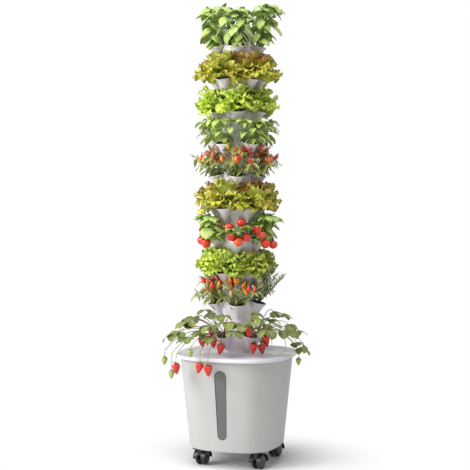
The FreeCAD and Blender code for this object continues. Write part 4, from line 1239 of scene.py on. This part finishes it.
# %% Grow the rosemary
ROSEMARY_PLACE = (9, 1)
ROSEMARY_STEMS = 15
NEEDLE_LEVELS = 34
NEEDLE_WIDTH = 0.0029
needle = leaf_kind([(0.0, 0.5), (0.25, 1.0), (0.8, 0.9), (1.0, 0.15)], rows=3, columns=2, cup=-0.5)
needles = Growth("rosemary_needles", 61)
twigs = Growth("rosemary_stems", 62)
mouth, angle = pocket_mouth(*ROSEMARY_PLACE)
between = needles.between
for number in range(ROSEMARY_STEMS):
    towards = fanned(angle, number, ROSEMARY_STEMS, 150) - 10 + between(-8, 8)
    rise = between(34, 78)
    line = stem(twigs, mouth + heading(towards) * ROOT_STEP, towards, rise, rise + between(-6, 30),
                between(0.110, 0.158), (0.0019, 0.0008), rows=10, veer=between(-18, 18))
    for level in range(NEEDLE_LEVELS):
        share = level / (NEEDLE_LEVELS - 1)
        spot, aim = along_line(line, 0.12 + 0.88 * share)
        for side in (0, 180):
            long = between(0.019, 0.026) * (1 - 0.35 * share ** 3)
            leaf(needles, ROSEMARY_PLACE, spot, aim + 90 + side + 67 * level, between(20, 60),
                 between(20, 60), long, NEEDLE_WIDTH, needle)
needles.piece(rosemary_finish, "leaf_rosemary", "rosemary")
twigs.piece(brown_stem, "leaf_rosemary")

# %% [markdown]
# ## Strawberries
# The bottom tier's plants spill over the lid. A strawberry leaf is three toothed leaflets at the end of
# a long stalk. The fruits hang on thin runners, some in front of the cups and some over the lid's edge.
# A leaf whose stalk or leaflets would reach over the tub's filler hatch is left out, so no leaf grows over
# that corner.

# %% Keep the lid and its hatch free
HATCH_AZIMUTH = 135.0
HATCH_HALF_ANGLE = 24.0
HATCH_NEAR = 0.118
HATCH_CEILING = 0.465
LID_MARGIN = 0.004
FOOT_RADIUS = 0.102
LYING_GAP = 0.003


def over_hatch(points):
    """True if any point is in the space that the hatch needs to open."""
    off = apart(np.degrees(np.arctan2(points[:, 1], points[:, 0])), HATCH_AZIMUTH)
    reach = np.hypot(points[:, 0], points[:, 1])
    return bool(((off < HATCH_HALF_ANGLE) & (reach > HATCH_NEAR) & (points[:, 2] < HATCH_CEILING)).any())


def lie_on_lid(points):
    """Lifts points that would sink into the lid or the foot disc on it."""
    over = (np.abs(points[:, :2]) < LID_HALF + LID_MARGIN).all(axis=1)
    on_foot = np.hypot(points[:, 0], points[:, 1]) < FOOT_RADIUS
    ground = np.where(on_foot, TOWER_FOOT, LID_TOP) + LYING_GAP
    points[:, 2] = np.where(over, np.maximum(points[:, 2], ground), points[:, 2])
    return points


print("hatch is free from azimuth", HATCH_AZIMUTH - HATCH_HALF_ANGLE, "to", HATCH_AZIMUTH + HATCH_HALF_ANGLE)

# %% Strawberry leaves, runners and fruits
BERRY_RADIUS = 0.0140
RAW_SCALE = 0.72
EDGE_REACH = 0.17
KNEE_RISE = 0.016
BERRY_PROFILE = [
    (0.02, -1.52), (0.16, -1.45), (0.34, -1.22), (0.56, -0.83), (0.76, -0.38), (0.92, 0.08), (1.0, 0.46),
    (0.98, 0.74), (0.84, 0.94), (0.58, 1.06), (0.30, 1.08), (0.02, 1.04),
]
strawberry_leaf = leaf_kind(
    [(0.0, 0.16), (0.14, 0.50), (0.40, 0.94), (0.66, 1.0), (0.88, 0.66), (1.0, 0.16)],
    rows=26, columns=8, cup=0.16, wave=0.0015, quilt=0.0014, veins=7.0, slant=0.4, teeth=9, tooth=0.13)

berry_leaves = Growth("strawberry_leaves", 71)
berry_stems = Growth("strawberry_stems", 72)
berries = Growth("strawberry_fruits_ripe", 73)
raw_berries = Growth("strawberry_fruits_raw", 74)


def nearest_cup(spot):
    """The mouth of the bottom tier's cup that faces a place best, and that cup's number."""
    off = [apart(pocket_angle(TIER_COUNT, pocket), azimuth_of(spot)) for pocket in EVERY_POCKET]
    pocket = int(np.argmin(off))
    return pocket_mouth(TIER_COUNT, pocket)[0], pocket


def trefoil(azimuth, reach, height, size):
    """Three leaflets at the end of a stalk that comes from the nearest cup."""
    between = berry_leaves.between
    spot = around(azimuth, reach, height)
    mouth, pocket = nearest_cup(spot)
    line = lie_on_lid(hanging_line(mouth, spot, 0.030 + 0.10 * max(reach - 0.12, 0)))
    aim = azimuth_of(line[-1] - line[-3])
    sag = between(-18, 14)
    trial = spot + heading(aim) * size
    if over_hatch(np.stack([spot, trial, (spot + trial) / 2, *line])):
        return
    tube(berry_stems, line, (0.0017, 0.0011))
    for side, share in ((0, 1.0), (-74, 0.88), (74, 0.88)):
        long = size * share * between(0.92, 1.08)
        leaf(berry_leaves, (TIER_COUNT, pocket), spot, aim + side + between(-8, 8), sag + 10, sag - 58,
             long, long * between(0.76, 0.88), strawberry_leaf, roll=between(-16, 16))


def strawberry(spot, ripe=True):
    """A hanging fruit with its star of sepals, on a runner from the nearest cup."""
    growth = berries if ripe else raw_berries
    between = growth.between
    radius = BERRY_RADIUS * between(0.92, 1.06) * (1.0 if ripe else RAW_SCALE)
    axis = nearly_up(growth, 0.22)
    turned(growth, BERRY_PROFILE, radius, spot, axis)
    top = spot + axis * radius * 1.05
    start = between(0, 40)
    for number in range(9):
        leaf(berry_leaves, (TIER_COUNT, None), top, start + 40 * number, between(24, 62), between(-50, 10),
             radius * between(0.95, 1.30), radius * 0.46, sepal)
    mouth, _ = nearest_cup(spot)
    reach = math.hypot(spot[0], spot[1])
    tip = top + np.array([0, 0, 0.004])
    if reach > EDGE_REACH:
        knee = around(azimuth_of(spot), reach - 0.004, max(LID_TOP + KNEE_RISE, top[2] + 0.012))
        first = lie_on_lid(hanging_line(mouth, knee, 0.034))
        line = np.concatenate([first, hanging_line(knee, tip, 0.004, count=8)[1:], [top]])
    else:
        line = lie_on_lid(np.concatenate([hanging_line(mouth, tip, 0.022), [top]]))
    tube(berry_stems, line, (0.0014, 0.0010))


print("strawberry makers ready")

# %% [markdown]
# The fruits in front have their places from the photograph, as (across, height, depth). Those over the
# lid's edge are given a depth just outside that edge, so that they hang free of the tub's wall. The
# fruits behind, which it does not show, and the leaves are placed round the tower's axis instead.

# %% Grow the strawberries
NEAR_BERRIES = [
    (-0.122, 0.419, 0.100), (-0.088, 0.457, 0.106), (-0.084, 0.419, 0.122), (-0.058, 0.396, 0.128),
    (0.041, 0.454, 0.118), (0.057, 0.398, 0.126), (0.086, 0.396, 0.112), (0.100, 0.422, 0.094),
    (0.103, 0.447, 0.088),
]
EDGE_BERRIES = [
    (-0.133, 0.329, 0.187, True), (-0.102, 0.319, 0.198, True), (-0.213, 0.326, 0.160, True),
    (-0.230, 0.305, 0.150, False), (-0.254, 0.353, 0.075, False), (-0.164, 0.378, 0.172, False),
    (0.214, 0.350, 0.045, False), (0.232, 0.392, 0.020, False),
]
# From here on (azimuth, reach, height), then ripe or not, or the size of a leaflet
FAR_BERRIES = [
    (64, 0.252, 0.338, True), (76, 0.236, 0.356, False), (92, 0.227, 0.332, True), (100, 0.231, 0.362, True),
    (70, 0.136, 0.418, True), (118, 0.130, 0.422, True), (160, 0.134, 0.415, True),
]
TREFOILS = [
    (-139, 0.236, 0.456, 0.044), (-128, 0.205, 0.448, 0.046), (-117, 0.176, 0.472, 0.048),
    (-107, 0.160, 0.490, 0.048), (-98, 0.190, 0.450, 0.044), (-84, 0.150, 0.502, 0.050),
    (-74, 0.172, 0.476, 0.046), (-64, 0.150, 0.490, 0.050), (-52, 0.170, 0.512, 0.050),
    (-41, 0.196, 0.480, 0.048), (-31, 0.172, 0.496, 0.050), (-18, 0.202, 0.462, 0.048),
    (-8, 0.214, 0.424, 0.046), (4, 0.224, 0.406, 0.042), (14, 0.180, 0.480, 0.050),
    (28, 0.206, 0.450, 0.048), (40, 0.166, 0.498, 0.050), (54, 0.214, 0.440, 0.046),
    (66, 0.170, 0.480, 0.050), (80, 0.198, 0.456, 0.048), (95, 0.160, 0.496, 0.050),
    (106, 0.150, 0.480, 0.046), (152, 0.128, 0.510, 0.046), (166, 0.196, 0.472, 0.050),
    (178, 0.166, 0.496, 0.048), (190, 0.212, 0.450, 0.048), (202, 0.172, 0.484, 0.050),
    (213, 0.204, 0.456, 0.046), (-150, 0.168, 0.490, 0.048), (-95, 0.126, 0.522, 0.042),
    (-45, 0.128, 0.530, 0.042), (20, 0.126, 0.524, 0.042), (172, 0.124, 0.522, 0.042),
]

for place in NEAR_BERRIES:
    strawberry(seen_at(*place))
for *place, ripe in EDGE_BERRIES:
    strawberry(seen_at(*place), ripe)
for *place, ripe in FAR_BERRIES:
    strawberry(around(*place), ripe)
for place in TREFOILS:
    trefoil(*place)

berry_leaves.piece(strawberry_finish, "leaf_strawberry", "strawberry_plants")
berry_stems.piece(runner_stem, "leaf_strawberry")
berries.piece(ripe_berry, "fruit_red", "strawberry_fruits")
raw_berries.piece(raw_berry, "fruit_red")

# %% [markdown]
# ## Sizes and finish
# The last cell prints how much larger the visual model's box is than the CAD's, so that any leaf that grew
# too far shows up as a number.

# %% Print how far the plants reach past the CAD box
boxes = {"cad": cad_box, "visual": as_lists(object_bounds())}
grown = [(v - c) * 1000 for v, c in zip(boxes["visual"][1], boxes["cad"][1])]
print("visual box is larger by, in mm:", [round(value, 1) for value in grown])
